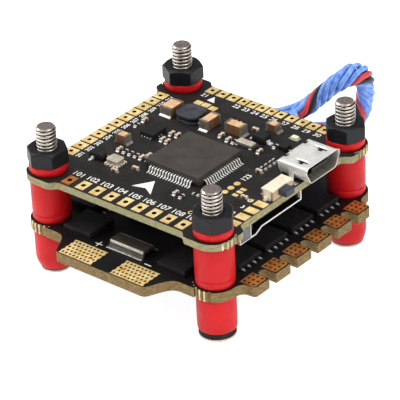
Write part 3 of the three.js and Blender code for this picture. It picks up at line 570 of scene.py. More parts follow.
def nut(corner, turn):
    """Hexagon nut whose top corners are turned off to a cone, which leaves an arc on each flat."""
    name = f"nut_{corner}"
    low, high = box_mm(name)
    centre = centre_mm(f"screw_{corner}")
    steps = 72
    flank, cone = 2.75, 2.62
    rings = [[], [], [], [], [], []]
    for i in range(steps):
        angle = math.radians(turn + i * 360 / steps)
        reach = flank / math.cos(math.radians((i * 360 / steps) % 60 - 30))
        drop = (reach - cone) * 0.62
        direction = Vector((math.cos(angle), math.sin(angle), 0))
        for ring, radius, z in zip(rings, (1.6, cone, reach, reach, cone, 1.75),
                                   (low.z, low.z, low.z + drop * 0.5, high.z - drop, high.z, high.z)):
            ring.append(Vector((centre.x, centre.y, z)) + direction * radius)
    rings.append([p + (Vector((centre.x, centre.y, p.z)) - p).normalized() * 0.2 - Vector((0, 0, 0.2))
                  for p in rings[-1]])
    form = bmesh.new()
    loft(form, rings)
    finished(name + "_chamfered", form, [NYLON], stands_for=[name], bevel=0.07, smooth=24)


def damper(corner, level):
    """Cast silicone damper: body, neck in the board's hole, flange on top. A lower one creeps over its screw's
    head."""
    name = f"damper_{level}_{corner}"
    low, high = box_mm(name)
    x, y = centre_mm(f"screw_{corner}").xy
    bottom, top = (ESC_BOTTOM, ESC_TOP) if level == "lower" else (FC_BOTTOM, FC_TOP)
    body, bore = 2.87, 1.62
    if level == "lower":
        wide, creep = HEADS[corner]
        foot = [(bore, low.z), (wide + 0.02, low.z), (wide + 0.02, creep + 0.1), (wide + 0.05, creep)]
        for step in range(9):
            share = step / 8
            foot.append((body - (body - wide - 0.1) * (1 - share) ** 2, creep + 0.04 + 1.9 * share))
    else:
        foot = [(bore, low.z), (body - 0.08, low.z), (body - 0.03, low.z + 0.04), (body, low.z + 0.14)]
    profile = foot + [
        (body, (low.z + bottom) / 2), (body, bottom - 0.7), (body - 0.03, bottom - 0.25),
        (body - 0.16, bottom - 0.01), (1.95, bottom - 0.01), (1.95, top + 0.01), (body - 0.2, top + 0.01),
        (body - 0.06, top + 0.2), (body - 0.02, top + 0.55), (body - 0.02, high.z - 0.22),
        (body - 0.07, high.z - 0.06), (body - 0.2, high.z), (bore, high.z), (bore, low.z),
    ]
    form = bmesh.new()
    turned(form, x, y, profile, 64)
    finished(name + "_cast", form, [SILICONE], stands_for=[name], smooth=50)


for corner, turn in CORNERS.items():
    screw(corner)
    nut(corner, turn)
    damper(corner, "lower")
    damper(corner, "upper")


# ------------------------------------------------------------------ boards

def coat(node_name, material, bevel=0.0):
    """Gives a CAD node its finish, and rounds its edges a little."""
    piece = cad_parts[node_name]
    piece.data.materials.clear()
    piece.data.materials.append(material)
    if bevel:
        rounding = piece.modifiers.new("edge_rounding", "BEVEL")
        rounding.width = bevel * MM
        rounding.segments = 2
        rounding.limit_method = "ANGLE"
        rounding.angle_limit = math.radians(35)


coat("fc_board", MASK_FC)
coat("esc_board", MASK_ESC)


def edge_ribs(board, corners, lobe, towards, bottom, top):
    """Where the board was broken off its panel: bright ribs of copper between the drill's bites."""
    form = bmesh.new()
    for corner in corners:
        centre = centre_mm(f"screw_{corner}")
        middle = math.radians(towards(centre))
        for k in range(-2, 3):
            angle = middle + k * 0.8 / lobe
            out, along = (math.cos(angle), math.sin(angle)), (-math.sin(angle), math.cos(angle))
            corner_at = [(lobe - 0.12, -0.16), (lobe + 0.05, -0.12), (lobe + 0.05, 0.12), (lobe - 0.12, 0.16)]
            outline = [(centre.x + r * out[0] + a * along[0], centre.y + r * out[1] + a * along[1])
                       for r, a in corner_at]
            prism(form, outline, bottom + 0.02, top + 0.01)
    finished(f"{board}_edge_ribs", form, [BRASS_RIB], bevel=0.03)


edge_ribs("fc_board", CORNERS, 3.25, lambda at: 0 if at.x > 0 else 180, FC_BOTTOM, FC_TOP)
edge_ribs("esc_board", CORNERS, 3.2, lambda at: 90 if at.y > 0 else (-110 if at.x > 0 else -86),
          ESC_BOTTOM, ESC_TOP)

FOIL = 0.045  # how far a pad stands over the mask, drawn thicker than foil so that its edge shows


def pad_with_hole(form, low, high, hole, radius, z, depth, finish=0, barrel=1):
    """Square pad round a plated hole, with the hole's barrel going down through the board."""
    (x0, y0), (x1, y1), (hx, hy) = low, high, hole
    angles = sorted({2 * math.pi * i / 24 for i in range(24)} | {
        math.atan2(cy - hy, cx - hx) % (2 * math.pi) for cx in (x0, x1) for cy in (y0, y1)})
    rim, edge = [], []
    for angle in angles:
        cos, sin = math.cos(angle), math.sin(angle)
        reach = min(
            ((x1 - hx) / cos if cos > 1e-9 else (x0 - hx) / cos if cos < -1e-9 else 1e9),
            ((y1 - hy) / sin if sin > 1e-9 else (y0 - hy) / sin if sin < -1e-9 else 1e9))
        edge.append((hx + reach * cos, hy + reach * sin))
        rim.append((hx + radius * cos, hy + radius * sin))
    top = z + FOIL
    loft(form, [[(x, y, z - 0.01) for x, y in edge], [(x, y, top) for x, y in edge],
                [(x, y, top) for x, y in rim]], finish)
    loft(form, [[(x, y, top) for x, y in rim], [(x, y, z - depth) for x, y in rim]], barrel)


def flat_pad(form, low, high, z, finish=0):
    slab(form, (*low, z - 0.01), (*high, z + FOIL), finish)


def disc(form, x, y, z, radius, finish=0, steps=16):
    turned(form, x, y, [(radius, z - 0.01), (radius, z)], steps, finish, False, True)


def ring_pad(form, x, y, z, inner, outer, finish=0, barrel=1):
    turned(form, x, y, [(outer, z - 0.01), (outer, z + FOIL), (inner, z + FOIL)], 24, finish)
    turned(form, x, y, [(inner, z + FOIL), (inner, z - 0.3)], 24, barrel, False, True)


def fc_pads():
    """Plated solder pads along the upper board's edges, and its test points."""
    form = bmesh.new()
    depth = FC_TOP - FC_BOTTOM
    for i in range(9):
        x = -10.55 + 2.63 * i
        pad_with_hole(form, (x - 0.78, -17.12), (x + 0.78, -14.9), (x, -16.0), 0.375, FC_TOP, depth,
                      2 if i == 0 else 0)
    for i in range(11):
        y = -9.56 + 2.03 * i
        pad_with_hole(form, (-16.9, y - 0.85), (-14.95, y + 0.85), (-16.0, y), 0.32, FC_TOP, depth)
    for first, step, count, half in ((-10.58, 2.03, 3, 0.8), (-4.55, 1.75, 5, 0.72), (4.48, 2.0, 4, 0.8)):
        for i in range(count):
            x = first + step * i
            pad_with_hole(form, (x - half, 15.5), (x + half, 17.35), (x, 16.5), 0.32, FC_TOP, depth)
    for y0, y1 in ((-10.3, -8.85), (-8.2, -6.85), (-6.15, -4.8), (-12.2, -10.9)):
        flat_pad(form, (14.95, y0), (16.85, y1), FC_TOP)
    for x, y in ((-9.94, 12.33), (-8.53, 12.37), (-6.99, 12.14)):
        flat_pad(form, (x - 0.62, y - 0.55), (x + 0.62, y + 0.55), FC_TOP)
    for y in (-5.75, -4.39, -2.96):
        turned(form, 9.64, y, [(0.5, FC_TOP - 0.01), (0.5, FC_TOP + FOIL)], 20, 0, False, True)
    for y in (-5.58, -4.6, -3.73):
        flat_pad(form, (10.95, y - 0.3), (11.85, y + 0.3), FC_TOP)
    ring_pad(form, 12.97, -7.17, FC_TOP, 0.42, 0.56, 3, 3)
    ring_pad(form, 14.09, -5.54, FC_TOP, 0.22, 0.42)
    ring_pad(form, 9.3, -12.9, FC_TOP, 0.25, 0.42)
    finished("fc_pads", form, [GOLD, VIA, COPPER, BLACK_GLAZE_AND_SHADE], smooth=40)


fc_pads()


def shifted(points, offset):
    """A bent line moved to its left by offset, its corners mitred."""
    line = [Vector(p) for p in points]
    moved = []
    for i, spot in enumerate(line):
        before = (spot - line[i - 1]).normalized() if i else (line[1] - spot).normalized()
        after = (line[i + 1] - spot).normalized() if i < len(line) - 1 else before
        normal = Vector((-(before + after).y, (before + after).x)).normalized()
        moved.append(spot + normal * (offset / max(0.4, normal.dot(Vector((-before.y, before.x))))))
    return moved


def ribbon(form, points, width, z0, z1):
    """A flat strip along a bent line."""
    left, right = shifted(points, width / 2), shifted(points, -width / 2)
    for i in range(len(left) - 1):
        prism(form, [left[i], right[i], right[i + 1], left[i + 1]], z0, z1)


def bundle(form, points, count, pitch, z, width=0.16):
    """Tracks side by side: the given line and its neighbours to its left."""
    for k in range(count):
        ribbon(form, shifted(points, k * pitch), width, z - 0.005, z + 0.018)


FC_TRACKS = [
    ([(-14.4, -9.4), (-12.6, -11.2), (-6.2, -11.2), (-4.4, -9.4), (-4.4, -8.2)], 4),
    ([(-13.9, -13.9), (-4.2, -13.9), (-2.6, -12.3)], 4),
    ([(11.9, -13.4), (4.1, -13.4), (2.6, -11.9), (2.6, -9.2)], 5),
    ([(-14.6, -5.4), (-12.8, -5.4), (-11.4, -6.8), (-6.5, -6.8), (-5.5, -5.8)], 3),
    ([(-14.6, 0.9), (-12.9, 0.9), (-11.6, -0.4), (-7.6, -0.4), (-6.6, -1.4), (-5.4, -1.4)], 4),
    ([(-14.6, 5.2), (-12.4, 5.2), (-11.4, 4.2), (-6.2, 4.2), (-4.9, 2.9), (-4.9, 1.9)], 4),
    ([(-6.6, 15.1), (-6.6, 13.6), (-5.2, 12.2), (2.0, 12.2)], 4),
    ([(6.2, 15.1), (6.2, 13.9), (5.4, 13.9)], 3),
    ([(12.6, 12.6), (11.4, 11.4), (11.4, 6.6), (12.4, 5.6)], 4),
    ([(7.1, 0.4), (9.0, 0.4), (9.9, -0.5), (12.6, -0.5), (13.6, 0.5)], 4),
    ([(7.3, -6.6), (8.6, -7.9), (11.4, -7.9)], 4),
    ([(3.4, 4.4), (3.4, 5.0), (8.0, 5.0), (8.9, 5.9)], 3),
    ([(-1.9, 4.4), (-1.9, 5.4), (-2.4, 5.9), (-2.4, 10.6)], 2),
]


def fc_tracks():
    """Copper tracks raised under the ink, and the tented holes where they change sides."""
    form = bmesh.new()
    for points, count in FC_TRACKS:
        bundle(form, points, count, 0.34, FC_TOP)
    for i in range(46):
        x = -13.4 + (i * 7.31) % 26.6
        y = -13.2 + (i * 4.77) % 26.2
        profile = [(0.24, FC_TOP - 0.005), (0.22, FC_TOP + 0.02), (0.1, FC_TOP + 0.02), (0.07, FC_TOP + 0.005)]
        turned(form, x, y, profile, 12, 0, False, True)
    finished("fc_tracks", form, [TRACE])


fc_tracks()


def numeral(form, text, x, y, height, turn, z):
    """A screened number centred on (x, y), its line of writing turned by some degrees from +X."""
    writing = bpy.data.curves.new("writing", "FONT")
    writing.body = text
    writing.size = height * 1.35
    writing.resolution_u = 3
    writing.offset = 0.008
    writing.extrude = 0.014
    writing.align_x, writing.align_y = "CENTER", "CENTER"
    holder = bpy.data.objects.new("writing", writing)
    mesh = bpy.data.meshes.new_from_object(holder)
    cos, sin = math.cos(math.radians(turn)), math.sin(math.radians(turn))
    points = [form.verts.new((
        x + v.co.x * cos - v.co.y * sin, y + v.co.x * sin + v.co.y * cos, z + 0.014 + v.co.z))
        for v in mesh.vertices]
    for face in mesh.polygons:
        form.faces.new([points[i] for i in face.vertices])
    bpy.data.meshes.remove(mesh)
    bpy.data.objects.remove(holder)
    bpy.data.curves.remove(writing)


def fc_ink():
    """Screened white marks: the nose arrow, pin-one triangle and a number for each pad."""
    form = bmesh.new()
    z0, z1 = FC_TOP + 0.002, FC_TOP + 0.03
    prism(form, [(-0.37, -9.17), (-2.29, -12.07), (-0.21, -11.45)], z0, z1)
    prism(form, [(-0.37, -9.17), (-0.21, -11.45), (1.53, -12.42)], z0, z1)
    prism(form, [(-9.38, 13.66), (-7.94, 13.54), (-8.99, 15.07)], z0, z1)
    finished("fc_arrows", form, [INK])
    form = bmesh.new()
    for i in range(9):
        numeral(form, f"{i + 101}", -10.55 + 2.63 * i, -14.0, 1.12, 0, z0)
    for i in range(11):
        numeral(form, f"{i + 201}", -14.15, -9.56 + 2.03 * i, 0.78, 90, z0)
    for i, x in enumerate((-10.58, -4.55, -2.8, -1.05, 0.7, 2.45, 4.48, 6.48, 8.48, 10.48)):
        numeral(form, f"{i + 21}", x, 14.65, 0.95, 0, z0)
    for i, y in enumerate((-11.5, -9.6, -7.5, -5.5)):
        numeral(form, f"{i + 1}", 14.25, y, 0.8, 0, z0)
    numeral(form, "123", 9.7, -0.9, 0.95, 90, z0)
    numeral(form, "7", 11.5, 12.6, 0.7, 0, z0)
    finished("fc_numbers", form, [INK])


fc_ink()


# ------------------------------------------------------------------ upper board's parts

def gull_section(shoulder, reach, thickness):
    """Section of a gull-wing lead, from the body outwards, foot on zero."""
    t = thickness
    return [
        (-0.15, shoulder), (reach * 0.28, shoulder), (reach * 0.4, shoulder - 0.07), (reach * 0.6, t + 0.06),
        (reach * 0.68, t), (reach, t), (reach, 0), (reach * 0.62, 0), (reach * 0.52, 0.07),
        (reach * 0.3, shoulder - t - 0.04), (reach * 0.24, shoulder - t), (-0.15, shoulder - t)]


def processor():
    """Square moulded package with sixteen bright gull-wing leads a side, each on its own soldered pad."""
    low, high = box_mm("processor")
    x, y = (low.x + high.x) / 2, (low.y + high.y) / 2
    form = bmesh.new()
    size = 10.0
    frustum(form, x, y, FC_TOP + 0.12, size, size, high.z - FC_TOP - 0.12, 0.12)
    dimple = [(0.52, high.z + 0.002), (0.46, high.z - 0.03), (0.01, high.z - 0.04)]
    turned(form, x + 3.6, y + 3.4, dimple, 24, 2)
    section = gull_section(0.78, 1.15, 0.13)
    for side in range(4):
        cos, sin = math.cos(side * math.pi / 2), math.sin(side * math.pi / 2)
        for i in range(16):
            shift = (i - 7.5) * 0.5

            def place(out, across, up, shift=shift, cos=cos, sin=sin):
                reach, along = size / 2 - 0.05 + out, shift + across
                return (x + reach * cos - along * sin, y + reach * sin + along * cos, FC_TOP + up)

            swept(form, section, place, 0.105, 1)
    finished("processor_leaded", form, [PACKAGE, TIN, EPOXY], stands_for=["processor"],
             bevel=0.035, smooth=25)


def ceramic(form, x, y, z, length, width, height, along_x, top=1, cap=0.0):
    """A layered ceramic chip: tan block between tinned ends, with solder drawn up each end."""
    cap = cap or length * 0.17
    turn = (lambda a, b: (x + a, y + b)) if along_x else (lambda a, b: (x + b, y + a))
    size = (lambda a, b: (a, b)) if along_x else (lambda a, b: (b, a))
    proud = 0.03 * height
    chip(form, *turn(0, 0), z + 0.04, *size(length - 0.1, width - 2 * proud), height - proud - 0.04, 0)
    # a thin slab over the top in the finish top picks: the paler ceramic of painted light on capacitors, black
    # glaze on resistors
    chip(form, *turn(0, 0), z + height - proud - 0.01,
         *size(length - 2 * cap + 0.02, width - 4 * proud), 0.02, top)
    for end in (-1, 1):
        chip(form, *turn(end * (length - cap) / 2, 0), z + 0.02, *size(cap, width), height - 0.02, 2)
        toe = min(0.34, 0.45 * height)
        section = [(-0.04, 0), (-0.04, toe), (0.08, toe * 0.5), (toe * 0.9, 0.02), (toe * 0.9, 0)]

        def place(out, across, up, end=end):
            px, py = turn(end * (length / 2 + out), across)
            return (px, py, z + up)

        swept(form, section, place, width / 2, 3)


LARGE_CAPACITORS = {
    "capacitor_inlet": False, "capacitor_regulator": False, "capacitor_output": True,
    "capacitor_left": True, "capacitor_front": True,
}


def large_capacitors():
    """Power capacitors: fired blocks with dipped metal ends, soldered down."""
    for name, along_x in LARGE_CAPACITORS.items():
        low, high = box_mm(name)
        centre = centre_mm(name)
        size = high - low
        length, width = (size.x, size.y) if along_x else (size.y, size.x)
        form = bmesh.new()
        ceramic(form, centre.x, centre.y, FC_TOP, length, width, size.z, along_x, 1, 0.42)
        finished(name + "_fired", form, [CERAMIC, CERAMIC_LIT_TOP, CAP_END, SOLDER], stands_for=[name],
                 bevel=0.07)


# Small chips: (x, y, along_x, is_resistor)
SMALL_CHIPS = (
    [(-10.3 + 1.06 * i, -5.3, False, i not in (0, 4)) for i in range(5)]
    + [(-7.0, 0.5, False, False), (-6.0, 0.4, False, False), (-7.0, 2.6, False, False)]
    + [(-5.95, 2.7, False, False), (-4.8, -8.2, True, False), (4.35, -10.2, False, False)]
    + [(5.6, -10.4, False, True), (10.2, 1.4, True, False)]
    + [(10.2, y, True, True) for y in (2.4, 3.4, 4.4, 5.2)]
    + [(0.9, 6.0, False, False), (1.95, 6.0, False, True), (6.75, 5.9, False, False)]
    + [(13.0, -5.5, True, False), (-0.75, 6.4, False, False), (12.6, 11.0, False, True)]
    + [(-5.6, -4.3, False, False), (-12.9, 1.6, False, True), (-12.9, 3.4, False, False)]
    + [(7.7, 8.4, False, True), (2.3, 10.6, True, False), (-1.2, 10.9, True, True)]
    + [(10.9, 7.6, False, False), (6.9, -8.9, True, True), (-6.9, -10.4, True, False)]
)


def small_chips(name, chips, z, size=(1.0, 0.5, 0.42)):
    """Rice-grain resistors and capacitors, soldered at both ends."""
    form = bmesh.new()
    length, width, height = size
    for x, y, along_x, resistor in chips:
        share, top = (0.7, 4) if resistor else (1.1, 1)
        ceramic(form, x, y, z, length, width, height * share, along_x, top, 0.22)
    finished(name, form, [CERAMIC, CERAMIC_LIT_TOP, TIN, SOLDER, BLACK_GLAZE_AND_SHADE], bevel=0.03)


def leaded_part(name, leads, body_size, finish=EPOXY):
    """A small moulded part with flat tinned leads: (dx, dy, size x, size y) each."""
    low, high = box_mm(name)
    x, y = (low.x + high.x) / 2, (low.y + high.y) / 2
    form = bmesh.new()
    frustum(form, x, y, FC_TOP + 0.06, *body_size, high.z - FC_TOP - 0.06, 0.1)
    for dx, dy, sx, sy in leads:
        chip(form, x + dx, y + dy, FC_TOP + 0.02, sx, sy, 0.16, 1)
        chip(form, x + dx * 0.72, y + dy * 0.72, FC_TOP + 0.1, sx * 0.9, sy * 0.9, 0.42, 1)
        chip(form, x + dx * 1.08, y + dy * 1.08, FC_TOP, sx * 1.05, sy * 1.05, 0.07, 2)
    finished(name + "_leaded", form, [finish, TIN, SOLDER], stands_for=[name], bevel=0.04)


def gyro():
    """Leadless sensor package with its pads peeping out along the edges."""
    low, high = box_mm("gyro")
    centre = centre_mm("gyro")
    form = bmesh.new()
    slab(form, (low.x, low.y, FC_TOP + 0.03), tuple(high))
    for i in range(4):
        shift = (i - 1.5) * 0.53
        for end in (-1, 1):
            chip(form, centre.x + shift, centre.y + end * 1.56, FC_TOP + 0.01, 0.24, 0.34, 0.22, 1)
            if i in (1, 2):
                chip(form, centre.x + end * 1.3, centre.y + shift, FC_TOP + 0.01, 0.34, 0.24, 0.22, 1)
    dimple = [(0.16, high.z + 0.004), (0.14, high.z - 0.02)]
    turned(form, centre.x - 0.8, centre.y + 1.05, dimple, 16, 2, False, True)
    finished("gyro_packaged", form, [EPOXY, SOLDER, BLACK_GLAZE_AND_SHADE], stands_for=["gyro"], bevel=0.04)


def barometer():
    """Drawn metal lid with a breather hole, on a small laminate carrier."""
    low, high = box_mm("barometer")
    centre = centre_mm("barometer")
    form = bmesh.new()
    slab(form, (low.x, low.y, FC_TOP + 0.02), (high.x, high.y, FC_TOP + 0.26), 1)
    x, y = centre.x, centre.y
    outline = [(x + sx * (1.09 - cx), y + sy * (0.93 - cy)) for sx, sy, cx, cy in (
        (1, -1, 0.25, 0), (1, -1, 0, 0.25), (1, 1, 0, 0.25), (1, 1, 0.25, 0),
        (-1, 1, 0.25, 0), (-1, 1, 0, 0.25), (-1, -1, 0, 0.25), (-1, -1, 0.25, 0))]
    prism(form, outline, FC_TOP + 0.26, high.z)
    breather = [(0.2, high.z + 0.004), (0.17, high.z + 0.002), (0.17, high.z - 0.1)]
    turned(form, x - 0.6, y + 0.3, breather, 20, 2, False, True)
    for side in (-1, 1):
        for i in range(3):
            chip(form, x + (i - 1) * 0.75, y + side * 1.14, FC_TOP, 0.38, 0.3, 0.16, 3)
    # notches between the edge contacts, along two sides of the carrier, as black slabs: painted shade in them
    z0, z1 = FC_TOP + 0.03, FC_TOP + 0.27
    for i in range(4):
        notch_x = low.x + 0.4 + i * (high.x - low.x - 0.8) / 3
        notch_y = low.y + 0.35 + i * (high.y - low.y - 0.7) / 3
        slab(form, (notch_x - 0.1, low.y - 0.012, z0), (notch_x + 0.1, low.y + 0.14, z1), 2)
        slab(form, (high.x - 0.14, notch_y - 0.1, z0), (high.x + 0.012, notch_y + 0.1, z1), 2)
    finished("barometer_lidded", form, [LID, CREAM, BLACK_GLAZE_AND_SHADE, SOLDER],
             stands_for=["barometer"], bevel=0.07)


def inductor():
    """Shielded power inductor: ferrite drum between eight-sided flanges, on two tinned feet."""
    high = box_mm("inductor")[1]
    centre = centre_mm("inductor")
    x, y = centre.x, centre.y

    def octagon(half, cut):
        return [(x + a, y + b) for a, b in (
            (half - cut, -half), (half, -half + cut), (half, half - cut), (half - cut, half),
            (-half + cut, half), (-half, half - cut), (-half, -half + cut), (-half + cut, -half))]

    form = bmesh.new()
    prism(form, octagon(1.98, 0.78), FC_TOP + 0.04, FC_TOP + 0.34, 0)
    turned(form, x, y, [(1.5, FC_TOP + 0.3), (1.42, FC_TOP + 0.6), (1.5, FC_TOP + 0.95)], 40, 1)
    rings = [[(px, py, z) for px, py in octagon(half, cut)] for half, cut, z in (
        (1.98, 0.78, FC_TOP + 0.88), (1.98, 0.78, high.z - 0.06), (1.9, 0.75, high.z), (1.5, 0.6, high.z),
        (1.44, 0.58, high.z - 0.07))]
    loft(form, rings, 0, True, True, True)
    for side in (-1, 1):
        chip(form, x + side * 1.72, y, FC_TOP, 0.7, 2.0, 0.3, 2)
        chip(form, x + side * 2.06, y, FC_TOP, 0.34, 2.0, 0.12, 3)
    finished("inductor_wound", form, [FERRITE, EPOXY, TIN, SOLDER],
             stands_for=["inductor"], bevel=0.05)


def crystal():
    """Seam-sealed crystal: metal lid on a dark ceramic boat."""
    low, high = box_mm("crystal")
    centre = centre_mm("crystal")
    form = bmesh.new()
    slab(form, (low.x, low.y, FC_TOP + 0.02), (high.x, high.y, FC_TOP + 0.42), 1)
    chip(form, centre.x, centre.y, FC_TOP + 0.42, 2.86, 1.16, high.z - FC_TOP - 0.42, 0)
    for sx in (-1, 1):
        for sy in (-1, 1):
            chip(form, centre.x + sx * 1.3, centre.y + sy * 0.72, FC_TOP, 0.6, 0.3, 0.3, 2)
    finished("crystal_sealed", form, [LID, FERRITE, SOLDER], stands_for=["crystal"], bevel=0.06)


def status_led():
    """Lamp chip: a pale resin lens on a white base, soldered at its ends."""
    high = box_mm("status_led")[1]
    centre = centre_mm("status_led")
    form = bmesh.new()
    chip(form, centre.x, centre.y, FC_TOP + 0.02, 1.6, 0.84, 0.2, 1)
    frustum(form, centre.x, centre.y, FC_TOP + 0.2, 1.1, 0.84, high.z - FC_TOP - 0.2, 0.06, 0)
    for side in (-1, 1):
        chip(form, centre.x + side * 0.72, centre.y, FC_TOP, 0.3, 0.9, 0.24, 2)
    finished("status_led_resin", form, [PHOSPHOR, WHITE, SOLDER],
             stands_for=["status_led"], bevel=0.04)


processor()
large_capacitors()
small_chips("fc_small_chips", SMALL_CHIPS, FC_TOP)
leaded_part("rear_transistor",
            [(-0.62, -0.95, 0.42, 0.6), (0.75, 0.95, 0.42, 0.6), (-0.75, 0.95, 0.42, 0.6)], (2.55, 1.3))
leaded_part("front_diode", [(-1.5, 0, 0.7, 0.75), (1.5, 0, 0.7, 0.75)], (2.3, 1.75))
gyro()
barometer()
inductor()
crystal()
status_led()


def small_diode():
    """Two-lead diode beside the status lamp."""
    form = bmesh.new()
    frustum(form, 9.1, 8.75, FC_TOP + 0.05, 1.5, 1.25, 0.62, 0.07)
    for side in (-1, 1):
        chip(form, 9.1 + side * 0.95, 8.75, FC_TOP + 0.01, 0.5, 0.34, 0.16, 1)
    finished("small_diode", form, [EPOXY, SOLDER], bevel=0.04)


small_diode()


# ------------------------------------------------------------------ USB socket

USB_Y = 5.9
USB_BASE = FC_TOP + 0.05
USB_TOP = box_mm("usb_shell")[1].z - 0.2


def usb_shell():
    """Stamped shell folded round the tongue: rounded folds, flared mouth, T-shaped spring windows in the roof
    and notches where its tabs were cut at the back."""
    half, low, high = 3.72, USB_BASE, USB_TOP
    roof = [-3.42, -2.85, -2.35, -1.95, -1.4, 0, 1.65, 2.15, 2.55, 3.0, 3.42]
    section = [(-2.6, low), (0.0, low), (2.6, low)]
    taper = [(2.85, low + 0.06), (3.05, low + 0.25), (3.3, low + 0.7), (3.5, low + 1.15), (3.66, low + 1.6)]
    section += taper
    section += [(half, high - 0.45), (3.68, high - 0.14), (3.56, high - 0.03)]
    section += [(dy, high) for dy in reversed(roof)]
    section += [(-3.56, high - 0.03), (-3.68, high - 0.14), (-half, high - 0.45)]
    section += [(-dy, z) for dy, z in reversed(taper)]
    stations = [(13.0, 0), (13.45, 0), (14.4, 0), (15.5, 0), (15.95, 0), (16.65, 0), (17.2, 0), (17.8, 0.01),
                (18.08, 0.08), (18.28, 0.2)]
    form = bmesh.new()
    grid = []
    for x, flare in stations:
        ring = []
        for dy, z in section:
            side = math.copysign(1, dy) if abs(dy) > 3.5 else 0
            lift = 0 if side or z < high - 0.5 else 1
            ring.append(form.verts.new((x, USB_Y + dy + flare * side, z + flare * lift)))
        grid.append(ring)
    count = len(section)
    for i in range(len(stations) - 1):
        for j in range(count):
            k = (j + 1) % count
            middle_y = (section[j][0] + section[k][0]) / 2
            on_roof = section[j][1] == high and section[k][1] == high
            bar = 3 <= i <= 5 and (-2.35 < middle_y < -1.95 or 2.15 < middle_y < 2.55)
            stem = i == 4 and (-2.85 < middle_y < -2.35 or 1.65 < middle_y < 2.15)
            notch = i == 0 and (-2.35 < middle_y < -1.4 or 2.15 < middle_y < 3.0)
            if on_roof and (bar or stem or notch):
                continue
            form.faces.new((grid[i][j], grid[i][k], grid[i + 1][k], grid[i + 1][j]))
    shell = finished("usb_shell_folded", form, [TIN, TIN_SHADED], stands_for=["usb_shell"], smooth=40)
    sheet = shell.modifiers.new("sheet_thickness", "SOLIDIFY")
    sheet.thickness = 0.1 * MM
    sheet.offset = -1
    # the inner skin takes the greyer sheet: painted shade
    sheet.material_offset = 1
    form = bmesh.new()
    for side in (-1, 1):
        wall = USB_Y + side * 3.68
        for reach, height in ((wall - side * 0.18, USB_BASE + 1.75), (wall + side * 0.62, FC_TOP + 0.18)):
            slab(form, (14.9, min(wall, reach), FC_TOP), (15.7, max(wall, reach), height))
        chip(form, 15.62, USB_Y + side * 4.15, FC_TOP, 2.2, 0.75, 0.09, 1)
    for i in range(5):
        chip(form, 12.82, USB_Y + (i - 2) * 0.65, FC_TOP, 0.9, 0.28, 0.16, 1)
    finished("usb_feet", form, [TIN, SOLDER], bevel=0.05)


def usb_tongue():
    """Black moulded tongue with five gold contacts on its underside."""
    middle = USB_BASE + 2.6 * 0.56
    form = bmesh.new()
    slab(form, (13.2, USB_Y - 3.2, USB_BASE + 0.35), (14.2, USB_Y + 3.2, USB_TOP - 0.3))
    # dark sheets of painted shade inside the mouth: on its floor, on its ceiling under the spring windows, and
    # on its cheeks
    slab(form, (14.1, USB_Y - 2.8, USB_BASE + 0.22), (16.6, USB_Y + 2.8, USB_BASE + 0.28), 2)
    slab(form, (13.05, USB_Y - 3.4, USB_TOP - 0.18), (17.6, USB_Y + 3.4, USB_TOP - 0.115), 2)
    for side in (-1, 1):
        inner, outer = sorted((USB_Y + side * 3.3, USB_Y + side * 3.38))
        slab(form, (14.1, inner, USB_BASE + 1.3), (17.2, outer, USB_TOP - 0.3), 2)
    slab(form, (14.0, USB_Y - 1.85, middle - 0.26), (17.62, USB_Y + 1.85, middle + 0.26))
    for i in range(5):
        dy = (i - 2) * 0.65
        slab(form, (14.3, USB_Y + dy - 0.16, middle - 0.33), (17.4, USB_Y + dy + 0.16, middle - 0.2), 1)
    finished("usb_tongue_moulded", form, [NYLON, GOLD, BLACK_GLAZE_AND_SHADE],
             stands_for=["usb_tongue"], bevel=0.03)


usb_shell()
usb_tongue()


# ------------------------------------------------------------------ boot button

def boot_button():
    """Side-pressed switch: tan body, cream cover clipped over it, slate plunger."""
    coat("button_housing", TAN, 0.05)
    coat("button_cover", CREAM, 0.06)
    coat("button_plunger", SLATE, 0.08)
    coat("button_click_leaf", SPRING)
    low, high = box_mm("button_housing")
    form = bmesh.new()
    for y in (low.y - 0.32, high.y + 0.32):
        chip(form, 15.8, y, FC_TOP, 0.7, 0.7, 0.16, 0)
        chip(form, 15.8, y, FC_TOP + 0.1, 0.5, 0.34, 0.5, 1)
    for y in (-3.0, -0.5):
        chip(form, 14.55, y, FC_TOP, 0.8, 0.7, 0.14, 0)
        chip(form, 14.72, y, FC_TOP + 0.08, 0.42, 0.5, 0.42, 1)
    finished("button_terminals", form, [SOLDER, TIN], bevel=0.04)


boot_button()


# ------------------------------------------------------------------ memory card socket

